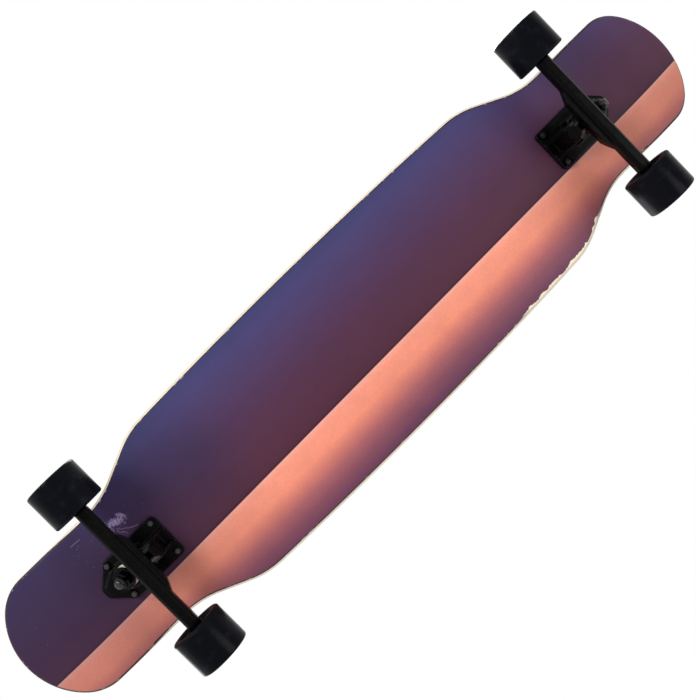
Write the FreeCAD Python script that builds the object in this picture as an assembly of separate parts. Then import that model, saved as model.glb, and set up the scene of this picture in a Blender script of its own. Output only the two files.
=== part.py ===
import FreeCAD, Part
import math
import os

# Longboard skateboard with a twin-tip deck and reverse-kingpin trucks, in millimetres.
# +X is forwards, +Y is left and +Z is up. The origin is on the ground under the middle of the board.
# Each truck is drawn once in its own frame: x outboard from the axle, y across, z up from the ground.

Vector = FreeCAD.Vector

# Deck
deck_length = 1022.0
deck_width = 229.0
deck_thickness = 11.0
deck_edge_round = 3.5
neck_width = 152.0
belly_drop = 4.8
shoulder_straight = 35.6
shoulder_radius = 100.0
shoulder_reach = 102.0
neck_radius = 100.0
end_corner_offset = 18.0
end_bulge = 8.0
tip_overhang = 173.0
kick_angle = 22.0
kick_radius = 200.0
kick_gap = 1.5

# Grip sheet
grip_thickness = 1.0
grip_margin = 4.5

# Wheels and their cores
wheel_diameter = 60.0
wheel_width = 44.0
wheel_lip_round = 2.5
wheel_mouth_diameter = 44.0
wheel_mouth_round = 1.5
core_diameter = 34.0
core_lip = 1.0
core_shoulder = 1.8

# Bearings
bearing_diameter = 22.0
bearing_width = 7.0
inner_race_wall = 2.05
outer_race_wall = 2.1
ball_diameter = 3.97
ball_count = 7
ball_play = 0.06
cage_wall = 1.5
cage_rail = 0.45
shield_thickness = 0.4
shield_depth = 0.4
shield_gap = 0.35
spacer_length = 10.0
spacer_wall = 1.3

# Axle and what is threaded on it
axle_diameter = 8.0
axle_tail = 1.1
axle_end_chamfer = 0.8
speed_ring_thickness = 1.2
speed_ring_wall = 1.8
axle_nut_flats = 13.0
axle_nut_height = 8.0

# Hanger
hanger_width = 180.0
axle_drop = 72.0
bar_width = 15.0
bar_above = 10.0
bar_below = 8.0
bar_chamfer = 3.5
collar_diameter = 15.0
collar_length = 9.0
gusset_depth = 13.5
gusset_flat = 56.0
gusset_span = 116.0
gusset_below = 2.0
gusset_inset = 1.0
gusset_round = 6.0
web_width = 19.0
ring_wall = 3.8
ring_thickness = 8.0
ring_recess = 1.0
ring_seat_gap = 0.7
neck_flare_diameter = 31.0
neck_flare_rim = 2.0
steer_limit = 20.0

# Kingpin stack, along the kingpin from the middle of the hanger's ring
kingpin_tilt = 35.0
ring_out = 14.2
ring_drop = 31.0
kingpin_diameter = 10.0
kingpin_head_flats = 15.0
kingpin_head_height = 5.5
kingpin_head_sink = 0.2
kingpin_tail = 4.0
kingpin_end_chamfer = 1.0
kingpin_nut_flats = 16.0
kingpin_nut_height = 8.0
bushing_diameter = 25.0
cone_bushing_end = 24.0
bushing_round = 1.2
boardside_bushing_height = 13.0
roadside_bushing_height = 10.0
washer_thickness = 2.0
washer_margin = 0.5
washer_round = 0.4
cup_bevel = 0.6
cup_rim_height = 1.5
cup_rim_wall = 0.7

# Pivot
pivot_reach = 43.0
pivot_nose_diameter = 9.0
pivot_root_diameter = 14.0
pivot_cup_wall = 1.6
pivot_cup_floor = 1.6
pivot_cup_depth = 10.5
pivot_boss_wall = 2.3
pivot_boss_floor = 1.5
pivot_end_gap = 0.4

# Baseplate
bolt_spacing_long = 63.5
bolt_spacing_wide = 41.3
bolt_pattern_shift = -0.75
plate_thickness = 6.0
plate_edge = 6.7
plate_side = 5.85
plate_shoulder = 0.5
plate_tip_reach = 22.0
plate_tip_width = 11.0
plate_corner_round = 5.0
rib_thickness = 3.5
rib_gap = 14.0
seat_width = 30.0
rib_overlap = 1.0
nose_height = 4.0
nose_inset = 4.0
nose_step = 1.0
tower_set_back = 11.0

# Mounting hardware
bolt_diameter = 5.0
bolt_head_diameter = 9.4
bolt_head_rim = 0.5
bolt_head_proud = 0.4
bolt_tail = 2.0
bolt_nut_flats = 8.0
bolt_nut_height = 5.0

# Six-sided nuts
hex_sides = 6
nut_corner_share = 0.97

# Clearances
press_clearance = 0.01
slip_clearance = 0.05
pivot_clearance = 0.08
bolt_clearance = 0.25
swing_clearance = 0.3
stack_clearance = 1.5

# Places worked out from the sizes above
deck_half = deck_length / 2
axle_place = deck_half - tip_overhang
axle_height = wheel_diameter / 2
deck_bottom = axle_height + axle_drop
deck_top = deck_bottom + deck_thickness
grip_top = deck_top + grip_thickness
bolt_inboard = bolt_pattern_shift - bolt_spacing_long / 2
bolt_outboard = bolt_pattern_shift + bolt_spacing_long / 2
bolt_side = bolt_spacing_wide / 2
plate_inboard = bolt_inboard - plate_edge
plate_half = bolt_side + plate_side
plate_tip = bolt_outboard + plate_tip_reach
plate_bottom = deck_bottom - plate_thickness
kick_start = axle_place + plate_tip + kick_gap
bearing_pair = 2 * bearing_width + spacer_length
wheel_place = hanger_width / 2 + speed_ring_thickness + bearing_pair / 2
tilt = math.radians(kingpin_tilt)
king_dir = Vector(math.sin(tilt), 0, -math.cos(tilt))
pivot_dir = Vector(-math.cos(tilt), 0, -math.sin(tilt))
ring_centre = Vector(ring_out, 0, deck_bottom - ring_drop)
ring_half = ring_thickness / 2
bushing_start = ring_half - ring_recess
boardside_end = -bushing_start - boardside_bushing_height
seat_level = boardside_end - washer_thickness
roadside_end = bushing_start + roadside_bushing_height
nut_start = roadside_end + washer_thickness
nut_end = nut_start + kingpin_nut_height
seat_radius = bushing_diameter / 2 + ring_seat_gap
ring_radius = seat_radius + ring_wall
washer_radius = bushing_diameter / 2 + washer_margin
web_start = washer_radius + stack_clearance
swing = math.radians(steer_limit)
ring_hole = (kingpin_diameter / 2 + swing_clearance + ring_half * math.sin(swing)) / math.cos(swing)
head_corner = kingpin_head_flats / math.sqrt(3)
head_end = -(ring_drop - head_corner * math.sin(tilt) - kingpin_head_sink) / math.cos(tilt)
head_start = head_end + kingpin_head_height
nose_radius = pivot_nose_diameter / 2
cup_bore = nose_radius + pivot_clearance
cup_radius = cup_bore + pivot_cup_wall
boss_radius = cup_radius + pivot_boss_wall
cup_end = pivot_reach + pivot_end_gap + pivot_cup_floor
boss_start = cup_end - pivot_cup_depth - pivot_cup_floor
boss_end = cup_end + pivot_boss_floor
axle_line = Vector(0, 0, axle_height)
across = Vector(0, 1, 0)
upright = Vector(0, 0, 1)


def pin_point(along_pivot, along_kingpin):
    """Point given along the pivot axis and along the kingpin from the middle of the ring."""
    return ring_centre + pivot_dir * along_pivot + king_dir * along_kingpin


def cylinder(radius, start, end):
    """Round bar between two points."""
    line = end - start
    return Part.makeCylinder(radius, line.Length, start, line)


def tube(outer, inner, start, end):
    """Round bar with a hole along its axis."""
    return cylinder(outer, start, end).cut(cylinder(inner, start, end))


def rounded_wire(corners, to_space):
    """Closed wire through (u, v, radius) corners, each rounded to its radius, placed by to_space."""
    spots = []
    for index, (u, v, radius) in enumerate(corners):
        here = Vector(u, v, 0)
        before = Vector(*corners[index - 1][:2], 0) - here
        after = Vector(*corners[(index + 1) % len(corners)][:2], 0) - here
        before.normalize()
        after.normalize()
        half = before.getAngle(after) / 2
        middle = before + after
        middle.normalize()
        cut = radius / math.tan(half)
        top = here + middle * (radius / math.sin(half) - radius)
        spots.append([to_space(spot.x, spot.y) for spot in (here + before * cut, top, here + after * cut)])
    edges = []
    for index, (start, top, end) in enumerate(spots):
        if corners[index][2] > 0:
            edges.append(Part.Arc(start, top, end).toShape())
        edges.append(Part.makeLine(end, spots[(index + 1) % len(spots)][0]))
    return Part.Wire(edges)


def sharp(corners):
    """Corners with no rounding, for rounded_wire."""
    return [(u, v, 0) for u, v in corners]


def side_prism(points, half_width, centre=0.0):
    """Prism across the truck, from points in its side view."""
    start = [Vector(point.x, centre - half_width, point.z) for point in points]
    face = Part.Face(Part.makePolygon(start + start[:1]))
    return face.extrude(Vector(0, 2 * half_width, 0))


def plan_prism(corners, bottom, top):
    """Upright prism from rounded (x, y, radius) corners in plan."""
    wire = rounded_wire(corners, lambda x, y: Vector(x, y, bottom))
    return Part.Face(wire).extrude(Vector(0, 0, top - bottom))


def mirrored(half):
    """Closed list of plan corners from those of its +y half, in order."""
    return half + [(x, -y, radius) for x, y, radius in reversed(half)]


def lathe(corners, origin, axis, outward):
    """Turned solid from (along, radius, rounding) corners about an axis."""
    wire = rounded_wire(corners, lambda along, radius: origin + axis * along + outward * radius)
    return Part.Face(wire).revolve(origin, axis, 360)


def hex_prism(flats, start, end):
    """Six-sided bar between two points."""
    line = end - start
    radius = flats / math.sqrt(3)
    turns = [2 * math.pi * index / hex_sides for index in range(hex_sides)]
    ring = [Vector(radius * math.cos(turn), radius * math.sin(turn), 0) for turn in turns]
    bar = Part.Face(Part.makePolygon(ring + ring[:1])).extrude(Vector(0, 0, line.Length))
    bar.Placement = FreeCAD.Placement(start, FreeCAD.Rotation(upright, line))
    return bar


def hex_nut(flats, bore, start, end):
    """Six-sided nut with its corners eased at both ends."""
    half = (end - start).Length / 2
    corner = nut_corner_share * flats / math.sqrt(3)
    easing = Part.makeSphere(math.hypot(corner, half), (start + end) / 2)
    return hex_prism(flats, start, end).common(easing).cut(cylinder(bore, start, end))


def outline_edges(inset):
    """Edges of the deck's outline in plan, drawn in by the inset, from arcs of one quarter."""
    half_width = deck_width / 2
    half_neck = neck_width / 2
    belly_end = axle_place - shoulder_reach
    belly_radius = (belly_end ** 2 + belly_drop ** 2) / (2 * belly_drop)
    belly_turn = math.asin(belly_end / belly_radius)
    belly_centre = Vector(0, half_width - belly_radius, 0)
    bearing = Vector(math.sin(belly_turn), math.cos(belly_turn), 0)
    shoulder_centre = belly_centre + bearing * (belly_radius - shoulder_radius)
    bends = shoulder_radius + neck_radius
    rise = half_neck + neck_radius - shoulder_centre.y
    turn = math.acos(rise / math.hypot(bends, shoulder_straight)) - math.atan2(shoulder_straight, bends)
    neck_x = shoulder_centre.x + bends * math.sin(turn) + shoulder_straight * math.cos(turn)
    neck_centre = Vector(neck_x, half_neck + neck_radius, 0)
    corner_radius = half_neck - end_corner_offset
    corner_centre = Vector(deck_half - corner_radius - end_bulge, end_corner_offset, 0)
    tip_radius = corner_radius + end_bulge / 2 + end_corner_offset ** 2 / (2 * end_bulge)
    tip_centre = Vector(deck_half - tip_radius, 0, 0)
    corner_dir = corner_centre - tip_centre
    corner_dir.normalize()

    def on_arc(centre, radius, angle):
        return centre + Vector(math.sin(angle), math.cos(angle), 0) * radius

    corner_turn = math.atan2(corner_dir.x, corner_dir.y)
    square = math.pi / 2
    arcs = [
        (belly_centre, belly_radius - inset, 0, belly_turn),
        (shoulder_centre, shoulder_radius - inset, belly_turn, turn),
        (neck_centre, -neck_radius - inset, turn, 0),
        (corner_centre, corner_radius - inset, 0, corner_turn),
        (tip_centre, tip_radius - inset, corner_turn, square),
    ]
    edges = []
    for forward in (1, -1):
        for leftward in (1, -1):
            last = None
            for centre, radius, start, end in arcs:
                spots = [on_arc(centre, radius, angle) for angle in (start, (start + end) / 2, end)]
                first, middle, final = [Vector(forward * s.x, leftward * s.y, 0) for s in spots]
                if last is not None and last.distanceToPoint(first) > slip_clearance:
                    edges.append(Part.makeLine(last, first))
                edges.append(Part.Arc(first, middle, final).toShape())
                last = final
    return edges


def board_layer(low, high, inset):
    """Layer of the pressed deck between two heights above its underside, inside the inset outline."""
    angle = math.radians(kick_angle)

    def half_profile(offset):
        radius = kick_radius - offset
        centre = Vector(kick_start, 0, deck_bottom + kick_radius)
        spots = []
        for turn in (0, angle / 2, angle):
            spots.append(centre + Vector(math.sin(turn), 0, -math.cos(turn)) * radius)
        run = (deck_length - spots[2].x) / math.cos(angle)
        return spots + [spots[2] + Vector(run * math.cos(angle), 0, run * math.sin(angle))]

    def flip(spot):
        return Vector(-spot.x, 0, spot.z)

    edges = []
    for offset in (low, high):
        begin, middle, bend, far = half_profile(offset)
        edges.append(Part.makeLine(flip(begin), begin))
        for side in (lambda spot: spot, flip):
            edges.append(Part.Arc(side(begin), side(middle), side(bend)).toShape())
            edges.append(Part.makeLine(side(bend), side(far)))
    for side in (lambda spot: spot, flip):
        edges.append(Part.makeLine(side(half_profile(low)[3]), side(half_profile(high)[3])))
    profile = Part.Face(Part.Wire(Part.__sortEdges__(edges)))
    slab = profile.extrude(Vector(0, 2 * deck_width, 0))
    slab.translate(Vector(0, -deck_width, 0))
    outline = Part.Face(Part.Wire(Part.__sortEdges__(outline_edges(inset))))
    column = outline.extrude(Vector(0, 0, deck_bottom + deck_length))
    return slab.common(column)


def bolt_places():
    """Places of the mounting bolts in the truck's plan."""
    return [(x, y) for x in (bolt_inboard, bolt_outboard) for y in (-bolt_side, bolt_side)]


def bolt_shape(x, y, spread):
    """Countersunk bolt, with its head and shank larger by the spread, as for its hole."""
    head = bolt_head_diameter / 2 + spread
    shank = bolt_diameter / 2 + spread
    top = deck_top + bolt_head_proud
    neck = top - bolt_head_rim - (head - shank)
    end = plate_bottom - bolt_nut_height - bolt_tail
    rim = top - bolt_head_rim
    corners = [(end, 0), (end, shank), (neck, shank), (rim, head), (top, head), (top, 0)]
    return lathe(sharp(corners), Vector(x, y, 0), upright, Vector(1, 0, 0))


def make_deck():
    """Plywood deck with rounded edges and countersunk bolt holes."""
    board = board_layer(0, deck_thickness, 0)
    rims = [edge for edge in board.Edges if edge.BoundBox.XLength > slip_clearance]
    rims = [edge for edge in rims if edge.BoundBox.ZLength < deck_thickness - slip_clearance
            or edge.BoundBox.XLength > deck_thickness]
    board = board.makeFillet(deck_edge_round, rims)
    for place in both_trucks(bolt_holes()):
        board = board.cut(place)
    return board


def make_grip():
    """Grip sheet on the deck's top, with a hole round each bolt head."""
    sheet = board_layer(deck_thickness, deck_thickness + grip_thickness, grip_margin)
    radius = bolt_head_diameter / 2 + bolt_clearance
    holes = [cylinder(radius, Vector(x, y, deck_bottom), Vector(x, y, grip_top + deck_thickness))
             for x, y in bolt_places()]
    for hole in both_trucks(Part.makeCompound(holes)):
        sheet = sheet.cut(hole)
    return sheet


def bolt_holes():
    """Countersunk holes for one truck's bolts."""
    return Part.makeCompound([bolt_shape(x, y, bolt_clearance) for x, y in bolt_places()])


def make_mounting_bolts():
    """Countersunk bolts of one truck."""
    return Part.makeCompound([bolt_shape(x, y, 0) for x, y in bolt_places()])


def make_mounting_nuts():
    """Nuts under the baseplate, one on each bolt."""
    nuts = []
    for x, y in bolt_places():
        start = Vector(x, y, plate_bottom - bolt_nut_height)
        end = Vector(x, y, plate_bottom)
        nuts.append(hex_nut(bolt_nut_flats, bolt_diameter / 2 + press_clearance, start, end))
    return Part.makeCompound(nuts)


def make_baseplate():
    """Cast baseplate: plate with a tapered nose, slanted kingpin seat, ribs and pivot boss."""
    outline = mirrored([
        (plate_inboard, plate_half, plate_corner_round),
        (bolt_outboard + plate_shoulder, plate_half, plate_corner_round),
        (plate_tip, plate_tip_width / 2, plate_corner_round),
    ])
    plate = plan_prism(outline, plate_bottom, deck_bottom)
    seat_inner = pin_point(web_start, seat_level)
    seat_outer = pin_point(-web_start, seat_level)
    floor = plate_bottom + plate_thickness / 2
    block = [Vector(seat_inner.x, 0, floor), seat_inner, seat_outer, Vector(seat_outer.x, 0, floor)]
    seat = side_prism(block, seat_width / 2)
    nose_start = seat_outer.x + stack_clearance
    nose = plan_prism(mirrored([
        (nose_start, seat_width / 2, nose_step),
        (bolt_outboard, seat_width / 2, plate_corner_round),
        (plate_tip - nose_inset, plate_tip_width / 2 - nose_step, plate_corner_round / 2),
    ]), plate_bottom - nose_height, deck_bottom)
    tower_back = pin_point(boss_start, -boss_radius - pivot_boss_wall)
    rib = [
        Vector(plate_inboard + stack_clearance, 0, floor),
        pin_point(boss_end, -boss_radius),
        pin_point(boss_end, rib_overlap),
        pin_point(boss_start, rib_overlap),
        tower_back,
        seat_inner,
        Vector(seat_inner.x, 0, floor),
    ]
    core = [
        Vector(plate_inboard + tower_set_back, 0, floor),
        pin_point(boss_end - pivot_boss_floor, -cup_radius),
        pin_point(boss_start, -cup_radius),
        tower_back,
        seat_inner,
        Vector(seat_inner.x, 0, floor),
    ]
    rib_place = (rib_gap + rib_thickness) / 2
    casting = plate.fuse([
        seat,
        nose,
        side_prism(rib, rib_thickness / 2, rib_place),
        side_prism(rib, rib_thickness / 2, -rib_place),
        side_prism(core, rib_gap / 2),
        cylinder(boss_radius, pin_point(boss_start, 0), pin_point(boss_end, 0)),
    ])
    pocket = hex_prism(kingpin_head_flats + 2 * bolt_clearance, pin_point(0, head_end - ring_drop),
                       pin_point(0, head_start))
    shank = cylinder(kingpin_diameter / 2 + slip_clearance, pin_point(0, head_end), pin_point(0, 0))
    mouth = pin_point(boss_start - stack_clearance, 0)
    socket = cylinder(cup_radius + press_clearance, mouth, pin_point(cup_end, 0))
    casting = casting.cut([pocket, shank, socket])
    holes = [cylinder(bolt_diameter / 2 + bolt_clearance, Vector(x, y, 0), Vector(x, y, deck_top))
             for x, y in bolt_places()]
    return casting.cut(holes).removeSplitter()


def make_pivot_cup():
    """Plastic cup pressed into the baseplate, round the hanger's nose."""
    cup = cylinder(cup_radius, pin_point(boss_start, 0), pin_point(cup_end, 0))
    return cup.cut(cylinder(cup_bore, pin_point(boss_start, 0), pin_point(cup_end - pivot_cup_floor, 0)))


def make_kingpin():
    """Kingpin bolt with its hexagonal head in the baseplate."""
    head = hex_prism(kingpin_head_flats, pin_point(0, head_end), pin_point(0, head_start))
    tip = nut_end + kingpin_tail
    shank = lathe(sharp([
        (head_end, 0),
        (head_end, kingpin_diameter / 2),
        (tip - kingpin_end_chamfer, kingpin_diameter / 2),
        (tip, kingpin_diameter / 2 - kingpin_end_chamfer),
        (tip, 0),
    ]), ring_centre, king_dir, pivot_dir)
    return head.fuse(shank).removeSplitter()


def make_kingpin_nut():
    """Lock nut that sets the bushings' squeeze."""
    return hex_nut(kingpin_nut_flats, kingpin_diameter / 2 + press_clearance, pin_point(0, nut_start),
                   pin_point(0, nut_end))


def turned_ring(corners):
    """Ring turned about the kingpin, from (along, radius, rounding) corners."""
    return lathe(corners, ring_centre, king_dir, pivot_dir)


def make_boardside_bushing():
    """Barrel bushing between the baseplate and the ring."""
    bore = kingpin_diameter / 2 + slip_clearance
    radius = bushing_diameter / 2
    return turned_ring([(boardside_end, bore, 0), (boardside_end, radius, bushing_round),
                        (-bushing_start, radius, bushing_round), (-bushing_start, bore, 0)])


def make_roadside_bushing():
    """Cone bushing between the ring and the nut."""
    bore = kingpin_diameter / 2 + slip_clearance
    return turned_ring([(bushing_start, bore, 0), (bushing_start, bushing_diameter / 2, bushing_round),
                        (roadside_end, cone_bushing_end / 2, bushing_round), (roadside_end, bore, 0)])


def make_boardside_washer():
    """Flat washer on the baseplate's seat."""
    bore = kingpin_diameter / 2 + slip_clearance
    return turned_ring([(seat_level, bore, 0), (seat_level, washer_radius, washer_round),
                        (boardside_end, washer_radius, washer_round), (boardside_end, bore, 0)])


def make_roadside_washer():
    """Cupped washer between the cone bushing and the nut."""
    bore = kingpin_diameter / 2 + slip_clearance
    rim = cone_bushing_end / 2 + slip_clearance
    rim_end = roadside_end - cup_rim_height
    flare = rim + cup_rim_height * (bushing_diameter - cone_bushing_end) / 2 / roadside_bushing_height
    outer = flare + cup_rim_wall
    return turned_ring(sharp([(roadside_end, bore), (roadside_end, rim), (rim_end, flare), (rim_end, outer),
                              (nut_start - cup_bevel, outer), (nut_start, outer - cup_bevel),
                              (nut_start, bore)]))


def make_hanger():
    """Cast hanger: axle bar with gussets, web, bushing ring and pivot nose."""
    half = bar_width / 2
    boss_clear = boss_radius + stack_clearance
    gusset_along = (ring_out + gusset_depth + boss_clear * math.sin(tilt)) / math.cos(tilt)
    gusset_top = pin_point(gusset_along, boss_clear).z
    low = axle_height - bar_below
    high = axle_height + bar_above
    octagon = [(-half, low + bar_chamfer), (-half + bar_chamfer, low), (half - bar_chamfer, low),
               (half, low + bar_chamfer), (half, high - bar_chamfer), (half - bar_chamfer, high),
               (-half + bar_chamfer, high), (-half, high - bar_chamfer)]
    bar_half = hanger_width / 2 - collar_length
    bar = side_prism([Vector(x, 0, z) for x, z in octagon], bar_half)
    gusset = plan_prism(mirrored([
        (-gusset_depth, gusset_flat / 2, gusset_round),
        (0, gusset_span / 2, 0),
    ]), axle_height - gusset_below, gusset_top)
    web_edge = half - bar_chamfer
    root_end = boss_start - stack_clearance
    web = side_prism([
        pin_point(web_start, bushing_start),
        Vector(web_edge, 0, high),
        Vector(web_edge, 0, axle_height),
        Vector(gusset_inset - gusset_depth, 0, axle_height),
        Vector(gusset_inset - gusset_depth, 0, gusset_top),
        pin_point(root_end, boss_clear),
        pin_point(root_end, 0),
        pin_point(web_start, -bushing_start),
    ], web_width / 2)
    flare_end = (web_start + root_end) / 2
    taper_start = root_end - ring_half
    nose = lathe([
        (web_start, 0, 0),
        (web_start, neck_flare_diameter / 2, 0),
        (web_start + neck_flare_rim, neck_flare_diameter / 2, neck_flare_rim / 2),
        (flare_end, pivot_root_diameter / 2, taper_start - flare_end),
        (taper_start, pivot_root_diameter / 2, 0),
        (root_end, nose_radius, 0),
        (pivot_reach, nose_radius, nose_radius / 2),
        (pivot_reach, 0, 0),
    ], ring_centre, pivot_dir, king_dir)
    parts = [gusset, web, nose, cylinder(ring_radius, pin_point(0, -ring_half), pin_point(0, ring_half))]
    for side in (-1, 1):
        end = axle_line + across * (side * hanger_width / 2)
        parts.append(cylinder(collar_diameter / 2, end - across * (side * 2 * collar_length), end))
    casting = bar.fuse(parts)
    end = across * hanger_width
    bore = cylinder(axle_diameter / 2 + press_clearance, axle_line - end, axle_line + end)
    seats = [cylinder(seat_radius, pin_point(0, side * bushing_start), pin_point(0, side * roadside_end))
             for side in (-1, 1)]
    hole = cylinder(ring_hole, pin_point(0, -ring_thickness), pin_point(0, ring_thickness))
    return casting.cut([bore, hole] + seats).removeSplitter()


def wheel_tube(outer, inner, start, end):
    """Ring about the axle, placed along it from the middle of the +y wheel."""
    middle = axle_line + across * wheel_place
    return tube(outer, inner, middle + across * start, middle + across * end)


def wheel_lathe(corners):
    """Turned piece of the +y wheel, from (along, radius, rounding) corners about its middle."""
    return lathe(corners, axle_line + across * wheel_place, across, upright)


def bearing_middles():
    """Middles of the two bearings along the axle from the middle of the wheel."""
    place = (spacer_length + bearing_width) / 2
    return (-place, place)


def ball_track():
    """Radius of the circle that the balls' middles follow."""
    inner = axle_diameter / 2 + press_clearance + inner_race_wall
    outer = bearing_diameter / 2 - outer_race_wall
    return (inner + outer) / 2


def race_grooves():
    """Grooves that the balls run in, as a ring for each bearing."""
    middle = axle_line + across * wheel_place
    return [Part.makeTorus(ball_track(), ball_diameter / 2 + ball_play, middle + across * place, across)
            for place in bearing_middles()]


def make_tyre():
    """Urethane tyre with rounded lips and a dished mouth on each face."""
    half = wheel_width / 2
    core_half = bearing_pair / 2 + core_lip
    core_radius = core_diameter / 2
    mouth = wheel_mouth_diameter / 2
    return wheel_lathe([
        (-core_half, core_radius, 0),
        (-half, mouth, wheel_mouth_round),
        (-half, wheel_diameter / 2, wheel_lip_round),
        (half, wheel_diameter / 2, wheel_lip_round),
        (half, mouth, wheel_mouth_round),
        (core_half, core_radius, 0),
    ])


def make_core():
    """Hub core with a seat for each bearing and a shoulder between them."""
    core_half = bearing_pair / 2 + core_lip
    seat = bearing_diameter / 2 + press_clearance
    step = spacer_length / 2
    radius = core_diameter / 2
    return wheel_lathe(sharp([
        (-core_half, seat), (-core_half, radius), (core_half, radius), (core_half, seat),
        (step, seat), (step, seat - core_shoulder), (-step, seat - core_shoulder), (-step, seat),
    ]))


def make_outer_races():
    """Outer races of the wheel's bearings."""
    outer = bearing_diameter / 2
    rings = [wheel_tube(outer, outer - outer_race_wall, place - bearing_width / 2, place + bearing_width / 2)
             for place in bearing_middles()]
    return Part.makeCompound([ring.cut(race_grooves()) for ring in rings])


def make_inner_races():
    """Inner races of one wheel's bearings, on the axle."""
    bore = axle_diameter / 2 + press_clearance
    rings = [wheel_tube(bore + inner_race_wall, bore, place - bearing_width / 2, place + bearing_width / 2)
             for place in bearing_middles()]
    return Part.makeCompound([ring.cut(race_grooves()) for ring in rings])


def ball_middles():
    """Middles of the balls of the wheel's bearings."""
    spots = []
    for place in bearing_middles():
        middle = axle_line + across * (wheel_place + place)
        for index in range(ball_count):
            turn = 2 * math.pi * index / ball_count
            spots.append(middle + Vector(math.sin(turn), 0, math.cos(turn)) * ball_track())
    return spots


def make_balls():
    """Balls of the wheel's bearings."""
    return Part.makeCompound([Part.makeSphere(ball_diameter / 2, spot) for spot in ball_middles()])


def make_cages():
    """Cages that keep the balls apart."""
    radius = ball_diameter / 2 + ball_play
    pockets = []
    for spot in ball_middles():
        outward = Vector(spot.x, 0, spot.z - axle_height)
        pockets.append(cylinder(radius, spot - outward / 2, spot + outward / 2))
    inner = ball_track() - cage_wall / 2
    half = radius + cage_rail
    rings = [wheel_tube(inner + cage_wall, inner, place - half, place + half) for place in bearing_middles()]
    return Part.makeCompound([ring.cut(pockets) for ring in rings])


def make_shields():
    """Shields that close both faces of each bearing."""
    inner = axle_diameter / 2 + press_clearance + inner_race_wall + shield_gap
    outer = bearing_diameter / 2 - outer_race_wall
    rings = []
    for place in bearing_middles():
        for side in (-1, 1):
            face = place + side * (bearing_width / 2 - shield_depth - shield_thickness / 2)
            rings.append(wheel_tube(outer, inner, face - shield_thickness / 2, face + shield_thickness / 2))
    return Part.makeCompound(rings)


def make_spacer():
    """Spacer between the two inner races."""
    bore = axle_diameter / 2 + slip_clearance
    return wheel_tube(bore + spacer_wall, bore, -spacer_length / 2, spacer_length / 2)


def make_speed_rings():
    """Thin rings on both sides of the wheel's bearings."""
    bore = axle_diameter / 2 + slip_clearance
    half = bearing_pair / 2
    return Part.makeCompound([wheel_tube(bore + speed_ring_wall, bore, start, start + speed_ring_thickness)
                              for start in (-half - speed_ring_thickness, half)])


def make_axle_nut():
    """Lock nut on the axle's end."""
    start = axle_line + across * (wheel_place + bearing_pair / 2 + speed_ring_thickness)
    end = start + across * axle_nut_height
    return hex_nut(axle_nut_flats, axle_diameter / 2 + press_clearance, start, end)


def make_axle():
    """Steel axle through the hanger, with eased ends."""
    radius = axle_diameter / 2
    end = wheel_place + bearing_pair / 2 + speed_ring_thickness + axle_nut_height + axle_tail
    chamfer = axle_end_chamfer
    corners = [(-end, 0), (-end, radius - chamfer), (-end + chamfer, radius),
               (end - chamfer, radius), (end, radius - chamfer), (end, 0)]
    return lathe(sharp(corners), axle_line, across, upright)


def on_both_ends(shape):
    """A +y wheel piece and its twin at the axle's other end, in one group."""
    twin = shape.copy()
    twin.rotate(axle_line, upright, 180)
    return Part.makeCompound(shape.Solids + twin.Solids)


def place_truck(shape, forward):
    """Truck piece moved to its end of the board: forward is 1 at the front and -1 at the rear."""
    placed = shape.copy()
    if forward < 0:
        placed.rotate(Vector(0, 0, 0), upright, 180)
    placed.translate(Vector(forward * axle_place, 0, 0))
    return placed


def both_trucks(shape):
    """Truck piece at the front and at the rear."""
    return [place_truck(shape, 1), place_truck(shape, -1)]


def solid_or_group(shape):
    """The one solid of a shape, or a group of its solids."""
    if len(shape.Solids) == 1:
        return shape.Solids[0]
    return Part.makeCompound(shape.Solids)


def main():
    """Build every piece and write it under its name."""
    os.makedirs("parts", exist_ok=True)
    pieces = {"deck": make_deck(), "grip_tape": make_grip()}
    truck = {
        "baseplate": make_baseplate(),
        "pivot_cup": make_pivot_cup(),
        "kingpin": make_kingpin(),
        "kingpin_nut": make_kingpin_nut(),
        "boardside_bushing": make_boardside_bushing(),
        "roadside_bushing": make_roadside_bushing(),
        "boardside_washer": make_boardside_washer(),
        "roadside_washer": make_roadside_washer(),
        "mounting_bolts": make_mounting_bolts(),
        "mounting_nuts": make_mounting_nuts(),
        "hanger": make_hanger(),
        "axle": make_axle(),
        "axle_nuts": on_both_ends(make_axle_nut()),
        "speed_rings": on_both_ends(make_speed_rings()),
        "bearing_spacers": on_both_ends(make_spacer()),
        "bearing_inner_races": on_both_ends(make_inner_races()),
    }
    wheel = {
        "wheel_tyre": make_tyre(),
        "wheel_core": make_core(),
        "bearing_outer_races": make_outer_races(),
        "bearing_balls": make_balls(),
        "bearing_cages": make_cages(),
        "bearing_shields": make_shields(),
    }
    for end, forward in (("front", 1), ("rear", -1)):
        for name, shape in truck.items():
            pieces[end + "_" + name] = place_truck(shape, forward)
        for side, leftward in (("left", 1), ("right", -1)):
            for name, shape in wheel.items():
                turned = shape.copy()
                if leftward * forward < 0:
                    turned.rotate(axle_line, upright, 180)
                pieces[end + "_" + side + "_" + name] = place_truck(turned, forward)
    for name, shape in pieces.items():
        solid_or_group(shape).exportStep("parts/" + name + ".step")


main()
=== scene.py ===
import logging
import math
from abc import ABC, abstractmethod
from dataclasses import dataclass, field
from enum import Enum
from functools import cached_property

import bmesh
import bpy
from mathutils import Matrix, Vector


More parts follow.
